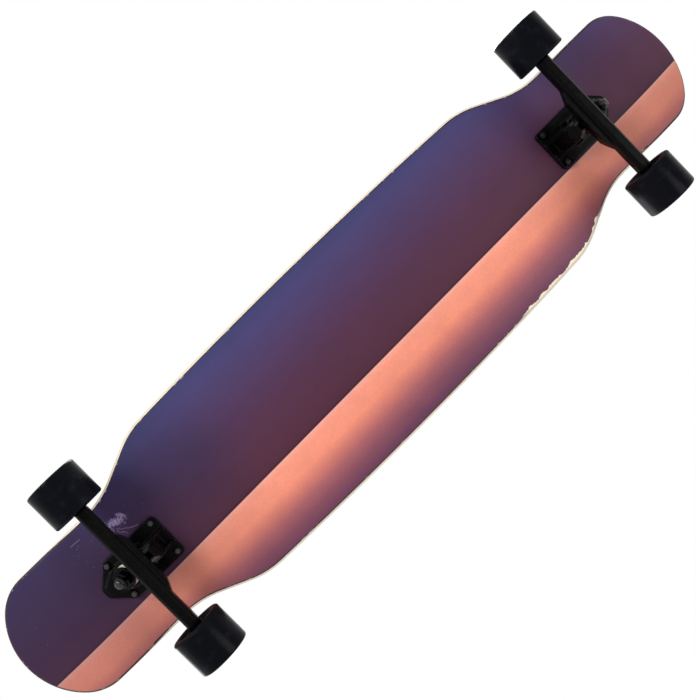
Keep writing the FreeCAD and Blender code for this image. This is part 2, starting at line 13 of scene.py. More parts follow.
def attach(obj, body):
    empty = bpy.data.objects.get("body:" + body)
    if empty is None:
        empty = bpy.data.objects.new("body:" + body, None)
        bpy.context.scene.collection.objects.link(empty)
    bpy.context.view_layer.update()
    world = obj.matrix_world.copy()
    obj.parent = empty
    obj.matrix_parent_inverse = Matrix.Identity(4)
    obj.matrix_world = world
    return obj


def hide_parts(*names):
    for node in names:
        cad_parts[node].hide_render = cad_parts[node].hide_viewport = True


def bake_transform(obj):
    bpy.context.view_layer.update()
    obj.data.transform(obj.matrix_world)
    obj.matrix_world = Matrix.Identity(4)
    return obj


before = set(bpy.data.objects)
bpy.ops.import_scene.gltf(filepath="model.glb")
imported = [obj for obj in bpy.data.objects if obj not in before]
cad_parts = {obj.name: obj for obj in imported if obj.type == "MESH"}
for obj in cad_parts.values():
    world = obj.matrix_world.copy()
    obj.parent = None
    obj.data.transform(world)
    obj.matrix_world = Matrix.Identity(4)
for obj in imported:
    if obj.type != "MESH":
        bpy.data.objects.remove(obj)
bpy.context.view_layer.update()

log = logging.getLogger("longboard")

Colour = tuple[float, float, float]
Point = tuple[float, float, float]
Place = tuple[float, float]
Socket = bpy.types.NodeSocket
Number = float | Socket
Shade = Colour | Socket
Shape = bmesh.types.BMesh
Mesh = bpy.types.Mesh
Material = bpy.types.Material
Piece = bpy.types.Object

UP = Vector((0.0, 0.0, 1.0))
LEFTWARD = Vector((0.0, 1.0, 0.0))

# Sizes that more than one sub-assembly or finish uses, in metres
AXLE_PLACE = 0.338
AXLE_HEIGHT = 0.030
DECK_HALF_WIDTH = 0.1145
WHEEL_MIDDLE = 0.1032
BOLT_ROWS = (-0.0325, 0.031)
BOLT_COLUMNS = (-0.02065, 0.02065)
SAME_POINT = 1e-6
HEX_SIDES = 6

# Edges sharper than this many degrees stay sharp on machined, pressed and cast pieces
MACHINED_CREASE = 32.0
PRESSED_CREASE = 40.0
CAST_CREASE = 180.0

# How a mould's softness is worked into a casting
CAST_SOFTENING = (
    ("REMESH", {"mode": "VOXEL", "voxel_size": 0.0007}),
    ("SMOOTH", {"factor": 0.5, "iterations": 6}),
    ("DECIMATE", {"ratio": 0.6}),
)

# The body that carries the deck and everything bolted to it, and the deck's own map
DECK_BODY = "deck"
PLY_MAP = "ply"


class NamedChoice(Enum):
    """A choice whose name is also a word in node and body names."""

    @property
    def word(self) -> str:
        """The choice's word."""
        return self.name.lower()


class End(NamedChoice):
    """The two ends of the board, with the sign of their place along X."""

    FRONT = 1
    REAR = -1


class Side(NamedChoice):
    """The two sides of the board, with the sign of their place along Y."""

    LEFT = 1
    RIGHT = -1


class Slot(Enum):
    """Names of material slots, listed beside some pieces' materials."""

    DECK = "deck_ply"
    GRIP = "grip_grit"
    TRUCK = "truck_black"
    BUSHING = "bushing_urethane"
    CUP = "cup_plastic"
    DARK_STEEL = "dark_steel"
    BRIGHT_STEEL = "bright_steel"
    BEARING = "bearing_steel"
    SHIELD = "shield_steel"
    WHEEL = "wheel_urethane"
    CORE = "core_plastic"


class DeckFinish(Enum):
    """Finishes of the deck, in the order of its materials."""

    PAINT = 0
    BORDER = 1
    EDGE = 2
    VENEER = 3


def bolt_places(end: End) -> list[Place]:
    """Places of one truck's mounting bolts in plan."""
    return [(end.value * (AXLE_PLACE + row), column) for row in BOLT_ROWS for column in BOLT_COLUMNS]


def srgb(red: int, green: int, blue: int) -> Colour:
    """Linear colour of an 8-bit screen colour.

    Args:
        red: Red level, 0 to 255.
        green: Green level, 0 to 255.
        blue: Blue level, 0 to 255.

    Returns:
        The three linear levels, 0 to 1.
    """
    levels = [level / 255.0 for level in (red, green, blue)]
    return tuple(v / 12.92 if v <= 0.04045 else ((v + 0.055) / 1.055) ** 2.4 for v in levels)


# The dark line round the paint, which also reaches up the ply edge
BORDER_TONE = srgb(44, 30, 40)


class Recipe:
    """A material's node tree, grown node by node."""

    # Which of the Mix node's sockets are its share and its two colours, and its mixed colour
    MIX_INPUTS = (0, 6, 7)
    MIX_RESULT = 2

    def __init__(self, name: str) -> None:
        """Start a material with one Principled shader.

        Args:
            name: The material's name.
        """
        self.material = bpy.data.materials.new(name)
        self.material.use_nodes = True
        self.tree = self.material.node_tree
        self.shader = self.found("BSDF_PRINCIPLED")
        self.coords = self.add("ShaderNodeTexCoord").outputs["Object"]

    @cached_property
    def place(self) -> tuple[Socket, Socket, Socket]:
        """The place along, across and above the board."""
        return self.axes(self.coords)

    def found(self, kind: str) -> bpy.types.Node:
        """The tree's first node of a type."""
        return next(node for node in self.tree.nodes if node.type == kind)

    def add(self, kind: str, **settings: object) -> bpy.types.Node:
        """Add a node.

        Args:
            kind: The node's type name.
            **settings: Values for the node's own properties.

        Returns:
            The new node.
        """
        node = self.tree.nodes.new(kind)
        for name, value in settings.items():
            setattr(node, name, value)
        return node

    def feed(self, socket: Socket, value: Number | Shade) -> None:
        """Link a socket to another, or set its value.

        Args:
            socket: The socket to feed.
            value: Another socket, a number, a vector or a colour.
        """
        if isinstance(value, bpy.types.NodeSocket):
            self.tree.links.new(value, socket)
        elif socket.type == "RGBA":
            socket.default_value = (*value, 1.0)
        else:
            socket.default_value = value

    def set(self, **values: Number | Shade) -> None:
        """Set or link the shader's sockets, named with underscores for spaces."""
        for name, value in values.items():
            self.feed(self.shader.inputs[name.replace("_", " ")], value)

    def calc(self, operation: str, first: Number, second: Number = 0.0, clamp: bool = False) -> Socket:
        """Work out a number from one or two others.

        Args:
            operation: The Math node's operation.
            first: A socket or a number.
            second: A socket or a number.
            clamp: Whether the result is held within 0 and 1.

        Returns:
            The result's socket.
        """
        node = self.add("ShaderNodeMath", operation=operation, use_clamp=clamp)
        self.feed(node.inputs[0], first)
        self.feed(node.inputs[1], second)
        return node.outputs[0]

    def plus(self, first: Number, second: Number) -> Socket:
        """The sum of two numbers."""
        return self.calc("ADD", first, second)

    def minus(self, first: Number, second: Number) -> Socket:
        """The first number less the second."""
        return self.calc("SUBTRACT", first, second)

    def times(self, first: Number, second: Number) -> Socket:
        """The product of two numbers."""
        return self.calc("MULTIPLY", first, second)

    def larger(self, first: Number, second: Number) -> Socket:
        """The larger of two numbers."""
        return self.calc("MAXIMUM", first, second)

    def unsigned(self, value: Number) -> Socket:
        """A number without its sign."""
        return self.calc("ABSOLUTE", value)

    def spread(
        self, value: Number, low: Number, high: Number, start: Number = 0.0, end: Number = 1.0,
    ) -> Socket:
        """Map a number smoothly from one range to another, held at both ends.

        Args:
            value: The number to map.
            low: Where the source range starts.
            high: Where the source range ends.
            start: The result at low.
            end: The result at high.

        Returns:
            The mapped number's socket.
        """
        node = self.add("ShaderNodeMapRange", interpolation_type="SMOOTHSTEP")
        for index, level in enumerate((value, low, high, start, end)):
            self.feed(node.inputs[index], level)
        return node.outputs[0]

    def axes(self, vector: Socket) -> tuple[Socket, Socket, Socket]:
        """The three numbers of a vector.

        Args:
            vector: The vector.

        Returns:
            The three sockets.
        """
        node = self.add("ShaderNodeSeparateXYZ")
        self.feed(node.inputs[0], vector)
        return node.outputs[0], node.outputs[1], node.outputs[2]

    def on_map(self) -> Socket:
        """Coordinates on the deck's own map."""
        return self.add("ShaderNodeUVMap", uv_map=PLY_MAP).outputs[0]

    def stretched(
        self, scale: Point, turn: Point = (0.0, 0.0, 0.0), vector: Socket | None = None,
    ) -> Socket:
        """Coordinates turned and scaled for a pattern with a direction.

        Args:
            scale: Scale along each axis.
            turn: Turn about each axis.
            vector: Coordinates other than the object's own.

        Returns:
            The new coordinates' socket.
        """
        node = self.add("ShaderNodeMapping")
        self.feed(node.inputs["Vector"], vector or self.coords)
        self.feed(node.inputs["Rotation"], turn)
        self.feed(node.inputs["Scale"], scale)
        return node.outputs[0]

    def noise(
        self, scale: float, detail: float = 2.0, rough: float = 0.5, vector: Socket | None = None,
    ) -> Socket:
        """Soft random pattern.

        Args:
            scale: Cells per metre.
            detail: How many finer layers it has.
            rough: How strong the finer layers are.
            vector: Coordinates other than the object's own.

        Returns:
            The pattern's socket, 0 to 1.
        """
        node = self.add("ShaderNodeTexNoise")
        self.feed(node.inputs["Vector"], vector or self.coords)
        self.feed(node.inputs["Scale"], scale)
        self.feed(node.inputs["Detail"], detail)
        self.feed(node.inputs["Roughness"], rough)
        return node.outputs[0]

    def cells(self, scale: float) -> Socket:
        """Distance pattern of small random cells.

        Args:
            scale: Cells per metre.

        Returns:
            The pattern's socket.
        """
        node = self.add("ShaderNodeTexVoronoi")
        self.feed(node.inputs["Vector"], self.coords)
        self.feed(node.inputs["Scale"], scale)
        return node.outputs["Distance"]

    def ramp(self, value: Socket, stops: list[tuple[float, Colour]]) -> Socket:
        """Colour looked up along a row of colour stops.

        Args:
            value: Where along the row, 0 to 1.
            stops: Places and colours, in order.

        Returns:
            The colour's socket.
        """
        node = self.add("ShaderNodeValToRGB")
        self.feed(node.inputs[0], value)
        elements = node.color_ramp.elements
        while len(elements) < len(stops):
            elements.new(1.0)
        for element, (place, colour) in zip(elements, stops):
            element.position = place
            element.color = (*colour, 1.0)
        return node.outputs[0]

    def mix(self, share: Number, first: Shade, second: Shade) -> Socket:
        """Mix two colours.

        Args:
            share: How much of the second colour.
            first: A colour or a socket.
            second: A colour or a socket.

        Returns:
            The mixed colour's socket.
        """
        node = self.add("ShaderNodeMix", data_type="RGBA")
        for index, value in zip(self.MIX_INPUTS, (share, first, second)):
            self.feed(node.inputs[index], value)
        return node.outputs[self.MIX_RESULT]

    def bump(self, height: Socket, depth: float, strength: float) -> None:
        """Give the surface fine relief.

        Args:
            height: The relief's pattern.
            depth: How deep it is, in metres.
            strength: How strongly it shows.
        """
        node = self.add("ShaderNodeBump")
        self.feed(node.inputs["Strength"], strength)
        self.feed(node.inputs["Distance"], depth)
        self.feed(node.inputs["Height"], height)
        self.feed(self.shader.inputs["Normal"], node.outputs[0])


class Finish(ABC):
    """A finish of the board or of its stage, laid down as one material."""

    name: str

    @abstractmethod
    def lay(self, recipe: Recipe) -> None:
        """Lay the finish down.

        Args:
            recipe: The material being made.
        """

    def material(self) -> Material:
        """Make the finish's material.

        Returns:
            The material.
        """
        recipe = Recipe(self.name)
        self.lay(recipe)
        return recipe.material


@dataclass(frozen=True)
class KnockedRim:
    """The stretch of the deck's rim that has taken most knocks."""

    rear_fade: Place = (0.13, 0.17)
    front_fade: Place = (0.305, 0.28)
    side_fade: Place = (0.055, 0.08)

    def nearness(self, recipe: Recipe) -> Socket:
        """How near a place is to the stretch.

        Args:
            recipe: The material being made.

        Returns:
            The nearness, 0 to 1.
        """
        x, y, _ = recipe.place
        stretch = recipe.times(recipe.spread(x, *self.rear_fade), recipe.spread(x, *self.front_fade))
        return recipe.times(stretch, recipe.spread(y, *self.side_fade))


@dataclass(frozen=True)
class Mark:
    """Soft-edged straight mark in plan.

    The width is half of the whole, soft is the share of it where the edge starts to fade, and share is
    how strong the middle is.
    """

    start: Place
    end: Place
    width: float
    soft: float
    share: float = 1.0

    def strength(self, recipe: Recipe, x: Socket, y: Socket) -> Socket:
        """How strong the mark is at a place.

        Args:
            recipe: The material being made.
            x: Place along the board.
            y: Place across the board.

        Returns:
            The strength, 0 to 1.
        """
        run = Vector(self.end) - Vector(self.start)
        half = run.length / 2
        ahead = run.normalized()
        dx = recipe.minus(x, self.start[0])
        dy = recipe.minus(y, self.start[1])
        along = recipe.plus(recipe.times(dx, ahead.x), recipe.times(dy, ahead.y))
        beside = recipe.minus(recipe.times(dy, ahead.x), recipe.times(dx, ahead.y))
        past = recipe.minus(along, half)
        across = recipe.spread(recipe.unsigned(beside), self.width, self.soft * self.width)
        lengthwise = recipe.spread(recipe.unsigned(past), half + self.width, half)
        return recipe.times(recipe.times(across, lengthwise), self.share)


@dataclass(frozen=True)
class DuskPaint(Finish):
    """Two-tone lengthwise gradient on the deck's underside, satin over the wood."""

    name: str = "dusk_paint"
    line_place: float = 0.0308
    line_slant: float = 0.0075
    line_fade: Place = (0.0, 0.04)
    roughness: float = 0.42
    gloss: float = 0.16
    relief: float = 0.00004
    haze: Colour = srgb(40, 26, 52)
    cloud: Colour = srgb(34, 34, 66)
    cloud_mark: Mark = Mark((-0.285, -0.075), (-0.225, -0.035), 0.075, 0.0, 0.42)
    # Painted shade: these colours, reaches and shares darken the paint towards the tail and the nose,
    # with shares for the right and the left of the dividing line
    tail: Colour = srgb(29, 27, 58)
    tail_fade: Place = (-0.17, -0.40)
    tail_shade_shares: Place = (0.62, 0.40)
    nose: Colour = srgb(34, 28, 44)
    nose_fade: Place = (0.20, 0.42)
    nose_shade_shares: Place = (0.102, 0.34)
    mottle: Colour = srgb(52, 30, 52)
    scuffed: Colour = srgb(178, 160, 206)
    torn_reach: float = 0.0036
    rub_mark: Mark = Mark((-0.3400, -0.0500), (-0.3255, -0.0470), 0.0060, 0.3)
    truck_specks: Mark = Mark((-0.372, -0.050), (-0.322, -0.030), 0.026, 0.7, 0.36)
    tail_specks: Mark = Mark((-0.469, -0.050), (-0.475, 0.005), 0.007, 0.0, 0.20)
    bent_reach: float = 0.002
    scratches: tuple[Mark, ...] = (
        Mark((-0.3840, -0.0620), (-0.3690, -0.0613), 0.0007, 0.1, 0.27),
        Mark((-0.3340, -0.0424), (-0.3265, -0.0335), 0.0007, 0.1, 0.27),
        Mark((-0.3265, -0.0335), (-0.3150, -0.0288), 0.0007, 0.1, 0.27),
        Mark((-0.3350, -0.0400), (-0.3320, -0.0300), 0.0007, 0.1, 0.27),
    )
    bruised: Colour = srgb(50, 30, 40)
    bruise_depths: Place = (1.02, 1.18)
    bare_wood: Colour = srgb(242, 230, 206)
    bare_depths: Place = (1.18, 1.21)

    def stops(self) -> list[tuple[float, Colour]]:
        """Colours across the deck.

        Returns:
            Places from the right edge, 0, to the left edge, 1, with their colours.
        """
        line = (self.line_place + DECK_HALF_WIDTH) / (2 * DECK_HALF_WIDTH)
        return [
            (0.000, srgb(56, 60, 106)),
            (0.090, srgb(70, 64, 110)),
            (0.230, srgb(77, 56, 94)),
            (0.400, srgb(82, 48, 75)),
            (0.560, srgb(82, 44, 62)),
            (line - 0.012, srgb(78, 40, 58)),
            (line - 0.0045, srgb(56, 24, 36)),
            (line - 0.0008, srgb(60, 26, 38)),
            (line + 0.0008, srgb(246, 186, 174)),
            (line + 0.008, srgb(250, 168, 148)),
            (line + 0.030, srgb(250, 158, 133)),
            (0.745, srgb(244, 150, 124)),
            (0.800, srgb(208, 122, 111)),
            (0.850, srgb(168, 98, 103)),
            (0.900, srgb(136, 79, 94)),
            (0.960, srgb(108, 62, 86)),
            (1.000, srgb(92, 54, 80)),
        ]

    def shaded(self, recipe: Recipe) -> Socket:
        """The gradient, clouded and mottled, with painted shade that darkens it towards both ends.

        Args:
            recipe: The material being made.

        Returns:
            The colour's socket.
        """
        x, y, _ = recipe.place
        slanted = recipe.plus(y, recipe.times(x, self.line_slant))
        from_right = recipe.plus(slanted, DECK_HALF_WIDTH)
        across = recipe.calc("DIVIDE", from_right, 2 * DECK_HALF_WIDTH, clamp=True)
        colour = recipe.ramp(across, self.stops())
        haze = recipe.spread(recipe.noise(7.0, 3.0, 0.55), 0.35, 0.7, 0.0, 0.08)
        cloud = self.cloud_mark.strength(recipe, x, y)
        # Painted shade: darkening towards the tail and the nose, mixed in below with the other tints
        tail_shade_across = recipe.spread(y, *self.line_fade, *self.tail_shade_shares)
        tail = recipe.times(recipe.spread(x, *self.tail_fade), tail_shade_across)
        nose_shade_across = recipe.spread(y, *self.line_fade, *self.nose_shade_shares)
        nose = recipe.times(recipe.spread(x, *self.nose_fade), nose_shade_across)
        lumps = recipe.times(recipe.noise(48.0, 5.0, 0.7), recipe.noise(420.0, 3.0, 0.6))
        mottle = recipe.spread(lumps, 0.16, 0.36, 0.08, 0.0)
        for share, tint in (
            (haze, self.haze),
            (cloud, self.cloud),
            (tail, self.tail),
            (nose, self.nose),
            (mottle, self.mottle),
        ):
            colour = recipe.mix(share, colour, tint)
        return colour

    @staticmethod
    def shaken(recipe: Recipe, place: Socket, pattern: Socket, reach: float) -> Socket:
        """A place moved to and fro by a pattern, which leaves marks with ragged edges.

        Args:
            recipe: The material being made.
            place: The place, along or across the board.
            pattern: A soft random pattern.
            reach: How far the place is moved at most.

        Returns:
            The moved place.
        """
        return recipe.plus(place, recipe.spread(pattern, 0.3, 0.7, -reach, reach))

    def wear(self, recipe: Recipe) -> Socket:
        """Pale scuffs and scratches where the rear wheels and feet have rubbed.

        Args:
            recipe: The material being made.

        Returns:
            How worn the paint is, 0 to 1.
        """
        x, y, _ = recipe.place
        fine = recipe.noise(420.0, 4.0, 0.7)
        specks = recipe.spread(recipe.noise(330.0, 4.0, 0.7), 0.62, 0.70)
        torn_x = self.shaken(recipe, x, recipe.noise(170.0, 4.0, 0.7), self.torn_reach)
        torn_y = self.shaken(recipe, y, recipe.noise(230.0, 4.0, 0.7), self.torn_reach)
        bent_x = self.shaken(recipe, x, recipe.noise(60.0), self.bent_reach)
        rub = self.rub_mark.strength(recipe, torn_x, torn_y)
        worn = recipe.times(rub, recipe.spread(fine, 0.34, 0.60, 0.15, 0.80))
        for mark in (self.truck_specks, self.tail_specks):
            worn = recipe.larger(worn, recipe.times(mark.strength(recipe, torn_x, torn_y), specks))
        for mark in self.scratches:
            worn = recipe.larger(worn, mark.strength(recipe, bent_x, y))
        return worn

    def chips(self, recipe: Recipe) -> tuple[Socket, Socket]:
        """Places along the rim where knocks have taken the paint off, most of them on one side.

        Args:
            recipe: The material being made.

        Returns:
            How bruised the paint is round the chips, and how bare the wood is.
        """
        rim, _, _ = recipe.axes(recipe.on_map())
        knocked = KnockedRim().nearness(recipe)
        rough = recipe.minus(recipe.noise(46.0, 6.0, 0.72), 0.5)
        ragged = recipe.times(rough, recipe.spread(knocked, 0.0, 1.0, 0.8, 2.6))
        depth = recipe.plus(recipe.plus(rim, ragged), recipe.times(knocked, 0.42))
        return recipe.spread(depth, *self.bruise_depths), recipe.spread(depth, *self.bare_depths)

    def lay(self, recipe: Recipe) -> None:
        """Lay the paint, with its wear and chips.

        Args:
            recipe: The material being made.
        """
        colour = recipe.mix(self.wear(recipe), self.shaded(recipe), self.scuffed)
        struck, chipped = self.chips(recipe)
        colour = recipe.mix(recipe.times(struck, 0.7), colour, self.bruised)
        colour = recipe.mix(chipped, colour, self.bare_wood)
        grain = recipe.noise(60.0, 5.0, 0.6, recipe.stretched((0.12, 1.0, 1.0)))
        roughness = recipe.spread(grain, 0.3, 0.7, self.roughness - 0.05, self.roughness + 0.07)
        recipe.set(Base_Color=colour, Roughness=roughness, Specular_IOR_Level=self.gloss)
        recipe.bump(grain, self.relief, 0.6)


@dataclass(frozen=True)
class BorderLine(Finish):
    """Thin dark line that borders the underside's paint, chipped through to the wood in places."""

    name: str = "border_line"
    colour: Colour = BORDER_TONE
    wood: Colour = srgb(240, 226, 200)
    gloss: float = 0.2
    relief: float = 0.0001

    def lay(self, recipe: Recipe) -> None:
        """Lay the line, with its chips.

        Args:
            recipe: The material being made.
        """
        chips = recipe.spread(recipe.noise(130.0, 4.0, 0.7), 0.60, 0.64)
        knocked = KnockedRim().nearness(recipe)
        bare = recipe.larger(recipe.times(chips, 0.35), recipe.times(knocked, 0.92))
        colour = recipe.mix(bare, self.colour, self.wood)
        roughness = recipe.spread(chips, 0.0, 1.0, 0.45, 0.7)
        recipe.set(Base_Color=colour, Roughness=roughness, Specular_IOR_Level=self.gloss)
        recipe.bump(chips, self.relief, 0.5)


@dataclass(frozen=True)
class PlyEdge(Finish):
    """Sanded edge of the pressed veneers, with the underside's border reaching up it at both ends."""

    name: str = "ply_edge"
    layers: float = 7.0
    pale: Colour = srgb(242, 231, 209)
    deep: Colour = srgb(222, 200, 164)
    fibre: Colour = srgb(168, 132, 90)
    glue: Colour = srgb(120, 86, 54)
    border: Colour = BORDER_TONE
    border_rise: Place = (0.36, 0.43)
    border_share: Place = (0.016, 0.175)
    gloss: float = 0.35
    relief: float = 0.00008

    def lay(self, recipe: Recipe) -> None:
        """Lay the edge, with its layers read from the deck's own map.

        Args:
            recipe: The material being made.
        """
        x, _, _ = recipe.place
        chart = recipe.on_map()
        _, height, _ = recipe.axes(chart)
        layer = recipe.times(height, self.layers)
        within = recipe.calc("FRACT", layer)
        odd = recipe.calc("MODULO", recipe.calc("FLOOR", layer), 2.0)
        grain = recipe.noise(1.0, 4.0, 0.65, recipe.stretched((260.0, 30.0, 1.0), vector=chart))
        lower = recipe.spread(within, 0.05, 0.0)
        upper = recipe.spread(within, 0.95, 1.0)
        seam = recipe.calc("ADD", lower, upper, clamp=True)
        border_top = recipe.spread(recipe.unsigned(x), *self.border_rise, *self.border_share)
        bordered = recipe.spread(recipe.minus(height, border_top), 0.012, 0.0)
        colour = recipe.mix(recipe.times(odd, 0.75), self.pale, self.deep)
        colour = recipe.mix(recipe.spread(grain, 0.35, 0.75, 0.0, 0.45), colour, self.fibre)
        colour = recipe.mix(recipe.times(seam, 0.55), colour, self.glue)
        colour = recipe.mix(bordered, colour, self.border)
        roughness = recipe.spread(grain, 0.2, 0.8, 0.5, 0.7)
        recipe.set(Base_Color=colour, Roughness=roughness, Specular_IOR_Level=self.gloss)
        recipe.bump(grain, self.relief, 0.6)


@dataclass(frozen=True)
class MapleVeneer(Finish):
    """Pale lacquered face veneer on the deck's top."""

    name: str = "maple_veneer"
    pale: Colour = srgb(226, 200, 160)
    deep: Colour = srgb(190, 154, 108)
    fibre: Colour = srgb(150, 112, 70)
    roughness: float = 0.45
    gloss: float = 0.4
    relief: float = 0.00004

    def lay(self, recipe: Recipe) -> None:
        """Lay the veneer, with its grain along the deck.

        Args:
            recipe: The material being made.
        """
        wander = recipe.noise(9.0)
        figure = recipe.noise(85.0, 6.0, 0.6, recipe.stretched((0.05, 1.0, 1.0)))
        fibre = recipe.noise(700.0, 3.0, 0.6, recipe.stretched((0.03, 1.0, 1.0)))
        tone = recipe.plus(recipe.times(figure, 0.7), recipe.times(wander, 0.3))
        colour = recipe.mix(recipe.spread(tone, 0.35, 0.7), self.pale, self.deep)
        colour = recipe.mix(recipe.spread(fibre, 0.5, 0.8, 0.0, 0.35), colour, self.fibre)
        recipe.set(Base_Color=colour, Roughness=self.roughness, Specular_IOR_Level=self.gloss)
        recipe.bump(fibre, self.relief, 0.5)


@dataclass(frozen=True)
class GripGrit(Finish):
    """Black abrasive sheet with fine sharp grains."""

    name: str = "grip_grit"
    grain: float = 1500.0
    colour: Colour = srgb(24, 24, 26)
    glint: Colour = srgb(74, 74, 78)
    dust: Colour = srgb(86, 85, 84)
    gloss: float = 0.4
    relief: float = 0.0003

    def lay(self, recipe: Recipe) -> None:
        """Lay the sheet, dustiest where feet stand.

        Args:
            recipe: The material being made.
        """
        _, y, _ = recipe.place
        grit = recipe.cells(self.grain)
        specks = recipe.spread(recipe.noise(2600.0), 0.55, 0.72)
        stood_on = recipe.spread(recipe.unsigned(y), 0.02, 0.09, 1.0, 0.2)
        dusty = recipe.times(recipe.spread(recipe.noise(11.0, 4.0, 0.6), 0.45, 0.8, 0.0, 0.2), stood_on)
        colour = recipe.mix(dusty, recipe.mix(specks, self.colour, self.glint), self.dust)
        roughness = recipe.spread(grit, 0.0, 0.6, 0.75, 0.98)
        recipe.set(Base_Color=colour, Roughness=roughness, Specular_IOR_Level=self.gloss)
        recipe.bump(recipe.minus(1.0, grit), self.relief, 0.9)


@dataclass(frozen=True)
class PowderCoat(Finish):
    """Satin black powder coat on a casting, with a fine orange-peel surface."""

    name: str = "powder_coat"
    colour: Colour = srgb(4, 4, 5)
    rubbed: Colour = srgb(10, 10, 12)
    roughness: float = 0.25
    gloss: float = 0.08
    relief: float = 0.00005

    def lay(self, recipe: Recipe) -> None:
        """Lay the coat.

        Args:
            recipe: The material being made.
        """
        peel = recipe.noise(900.0, 3.0, 0.55)
        lumps = recipe.noise(120.0, 3.0)
        rub = recipe.noise(55.0, 5.0, 0.7)
        colour = recipe.mix(recipe.spread(rub, 0.56, 0.72, 0.0, 0.5), self.colour, self.rubbed)
        roughness = recipe.spread(lumps, 0.3, 0.7, self.roughness - 0.06, self.roughness + 0.1)
        recipe.set(Base_Color=colour, Roughness=roughness, Specular_IOR_Level=self.gloss)
        recipe.bump(recipe.plus(peel, recipe.times(lumps, 2.0)), self.relief, 0.4)


@dataclass(frozen=True)
class BlackUrethane(Finish):
    """Poured black urethane: glossy outer faces and a lightly rubbed tread with turning marks."""

    name: str = "black_urethane"
    half_tread: float = 0.0196
    tread_fade: Place = (0.001, -0.0015)
    colour: Colour = srgb(11, 12, 18)
    dusty: Colour = srgb(34, 36, 46)
    tread_roughness: float = 0.16
    inner_roughness: float = 0.40
    outer_roughness: float = 0.12
    gloss: float = 0.06
    relief: float = 0.00005

    def lay(self, recipe: Recipe) -> None:
        """Lay the urethane.

        Args:
            recipe: The material being made.
        """
        half = self.half_tread
        _, y, _ = recipe.place
        outward = recipe.minus(recipe.unsigned(y), WHEEL_MIDDLE)
        tread = recipe.spread(recipe.unsigned(outward), *(half + fade for fade in self.tread_fade))
        marks = recipe.noise(1.0, 2.0, 0.6, recipe.stretched((6.0, 2600.0, 6.0)))
        smear = recipe.noise(70.0, 4.0, 0.65)
        dust = recipe.times(recipe.spread(smear, 0.5, 0.72), recipe.spread(tread, 0.0, 1.0, 0.15, 0.45))
        colour = recipe.mix(dust, self.colour, self.dusty)
        face = recipe.spread(outward, -half, half, self.inner_roughness, self.outer_roughness)
        rubbed = recipe.spread(tread, 0.0, 1.0, face, self.tread_roughness)
        roughness = recipe.plus(rubbed, recipe.times(smear, 0.10))
        recipe.set(Base_Color=colour, Roughness=roughness, Specular_IOR_Level=self.gloss)
        recipe.bump(recipe.plus(recipe.times(marks, tread), recipe.times(smear, 0.4)), self.relief, 0.5)


@dataclass(frozen=True)
class CreamUrethane(Finish):
    """Soft cream urethane of the bushings."""

    name: str = "cream_urethane"
    colour: Colour = srgb(232, 224, 202)
    soiled: Colour = srgb(182, 166, 134)
    gloss: float = 0.45
    depth_share: float = 0.15
    light_depth: float = 0.004
    relief: float = 0.00004

    def lay(self, recipe: Recipe) -> None:
        """Lay the urethane, which lets a little light in.

        Args:
            recipe: The material being made.
        """
        stain = recipe.noise(150.0, 4.0, 0.6)
        pores = recipe.noise(1800.0)
        colour = recipe.mix(recipe.spread(stain, 0.48, 0.75, 0.0, 0.6), self.colour, self.soiled)
        roughness = recipe.spread(stain, 0.3, 0.7, 0.38, 0.55)
        recipe.set(Base_Color=colour, Roughness=roughness, Specular_IOR_Level=self.gloss)
        recipe.set(Subsurface_Weight=self.depth_share, Subsurface_Scale=self.light_depth)
        recipe.bump(pores, self.relief, 0.5)


@dataclass(frozen=True)
class Steel(Finish):
    """Steel with fine scratches, from dark oxide to bright and polished."""

    name: str
    colour: Colour
    worn: Colour
    roughness: float
    wear: float = 0.4
    relief: float = 0.00002

    def lay(self, recipe: Recipe) -> None:
        """Lay the steel.

        Args:
            recipe: The material being made.
        """
        blotch = recipe.noise(240.0, 4.0, 0.65)
        scratch = recipe.noise(1.0, 3.0, 0.7, recipe.stretched((900.0, 160.0, 2400.0), (0.4, 0.2, 0.9)))
        colour = recipe.mix(recipe.spread(blotch, 0.5, 0.75, 0.0, self.wear), self.colour, self.worn)
        brushed = recipe.spread(scratch, 0.3, 0.7, self.roughness - 0.04, self.roughness + 0.08)
        dulled = recipe.spread(blotch, 0.3, 0.8, 0.0, 0.06)
        recipe.set(Base_Color=colour, Metallic=1.0, Roughness=recipe.plus(brushed, dulled))
        recipe.bump(scratch, self.relief, 0.5)


@dataclass(frozen=True)
class MouldedPlastic(Finish):
    """Moulded plastic with a fine spark texture and faint flow marks."""

    name: str
    colour: Colour
    roughness: float
    gloss: float = 0.22
    relief: float = 0.00005

    def lay(self, recipe: Recipe) -> None:
        """Lay the plastic.

        Args:
            recipe: The material being made.
        """
        spark = recipe.noise(2200.0)
        flow = recipe.spread(recipe.noise(90.0, 3.0, 0.6), 0.45, 0.8)
        pale = tuple(min(1.0, level * 1.8 + 0.004) for level in self.colour)
        colour = recipe.mix(flow, self.colour, pale)
        roughness = recipe.spread(spark, 0.3, 0.7, self.roughness - 0.06, self.roughness + 0.08)
        recipe.set(Base_Color=colour, Roughness=roughness, Specular_IOR_Level=self.gloss)
        recipe.bump(spark, self.relief, 0.5)


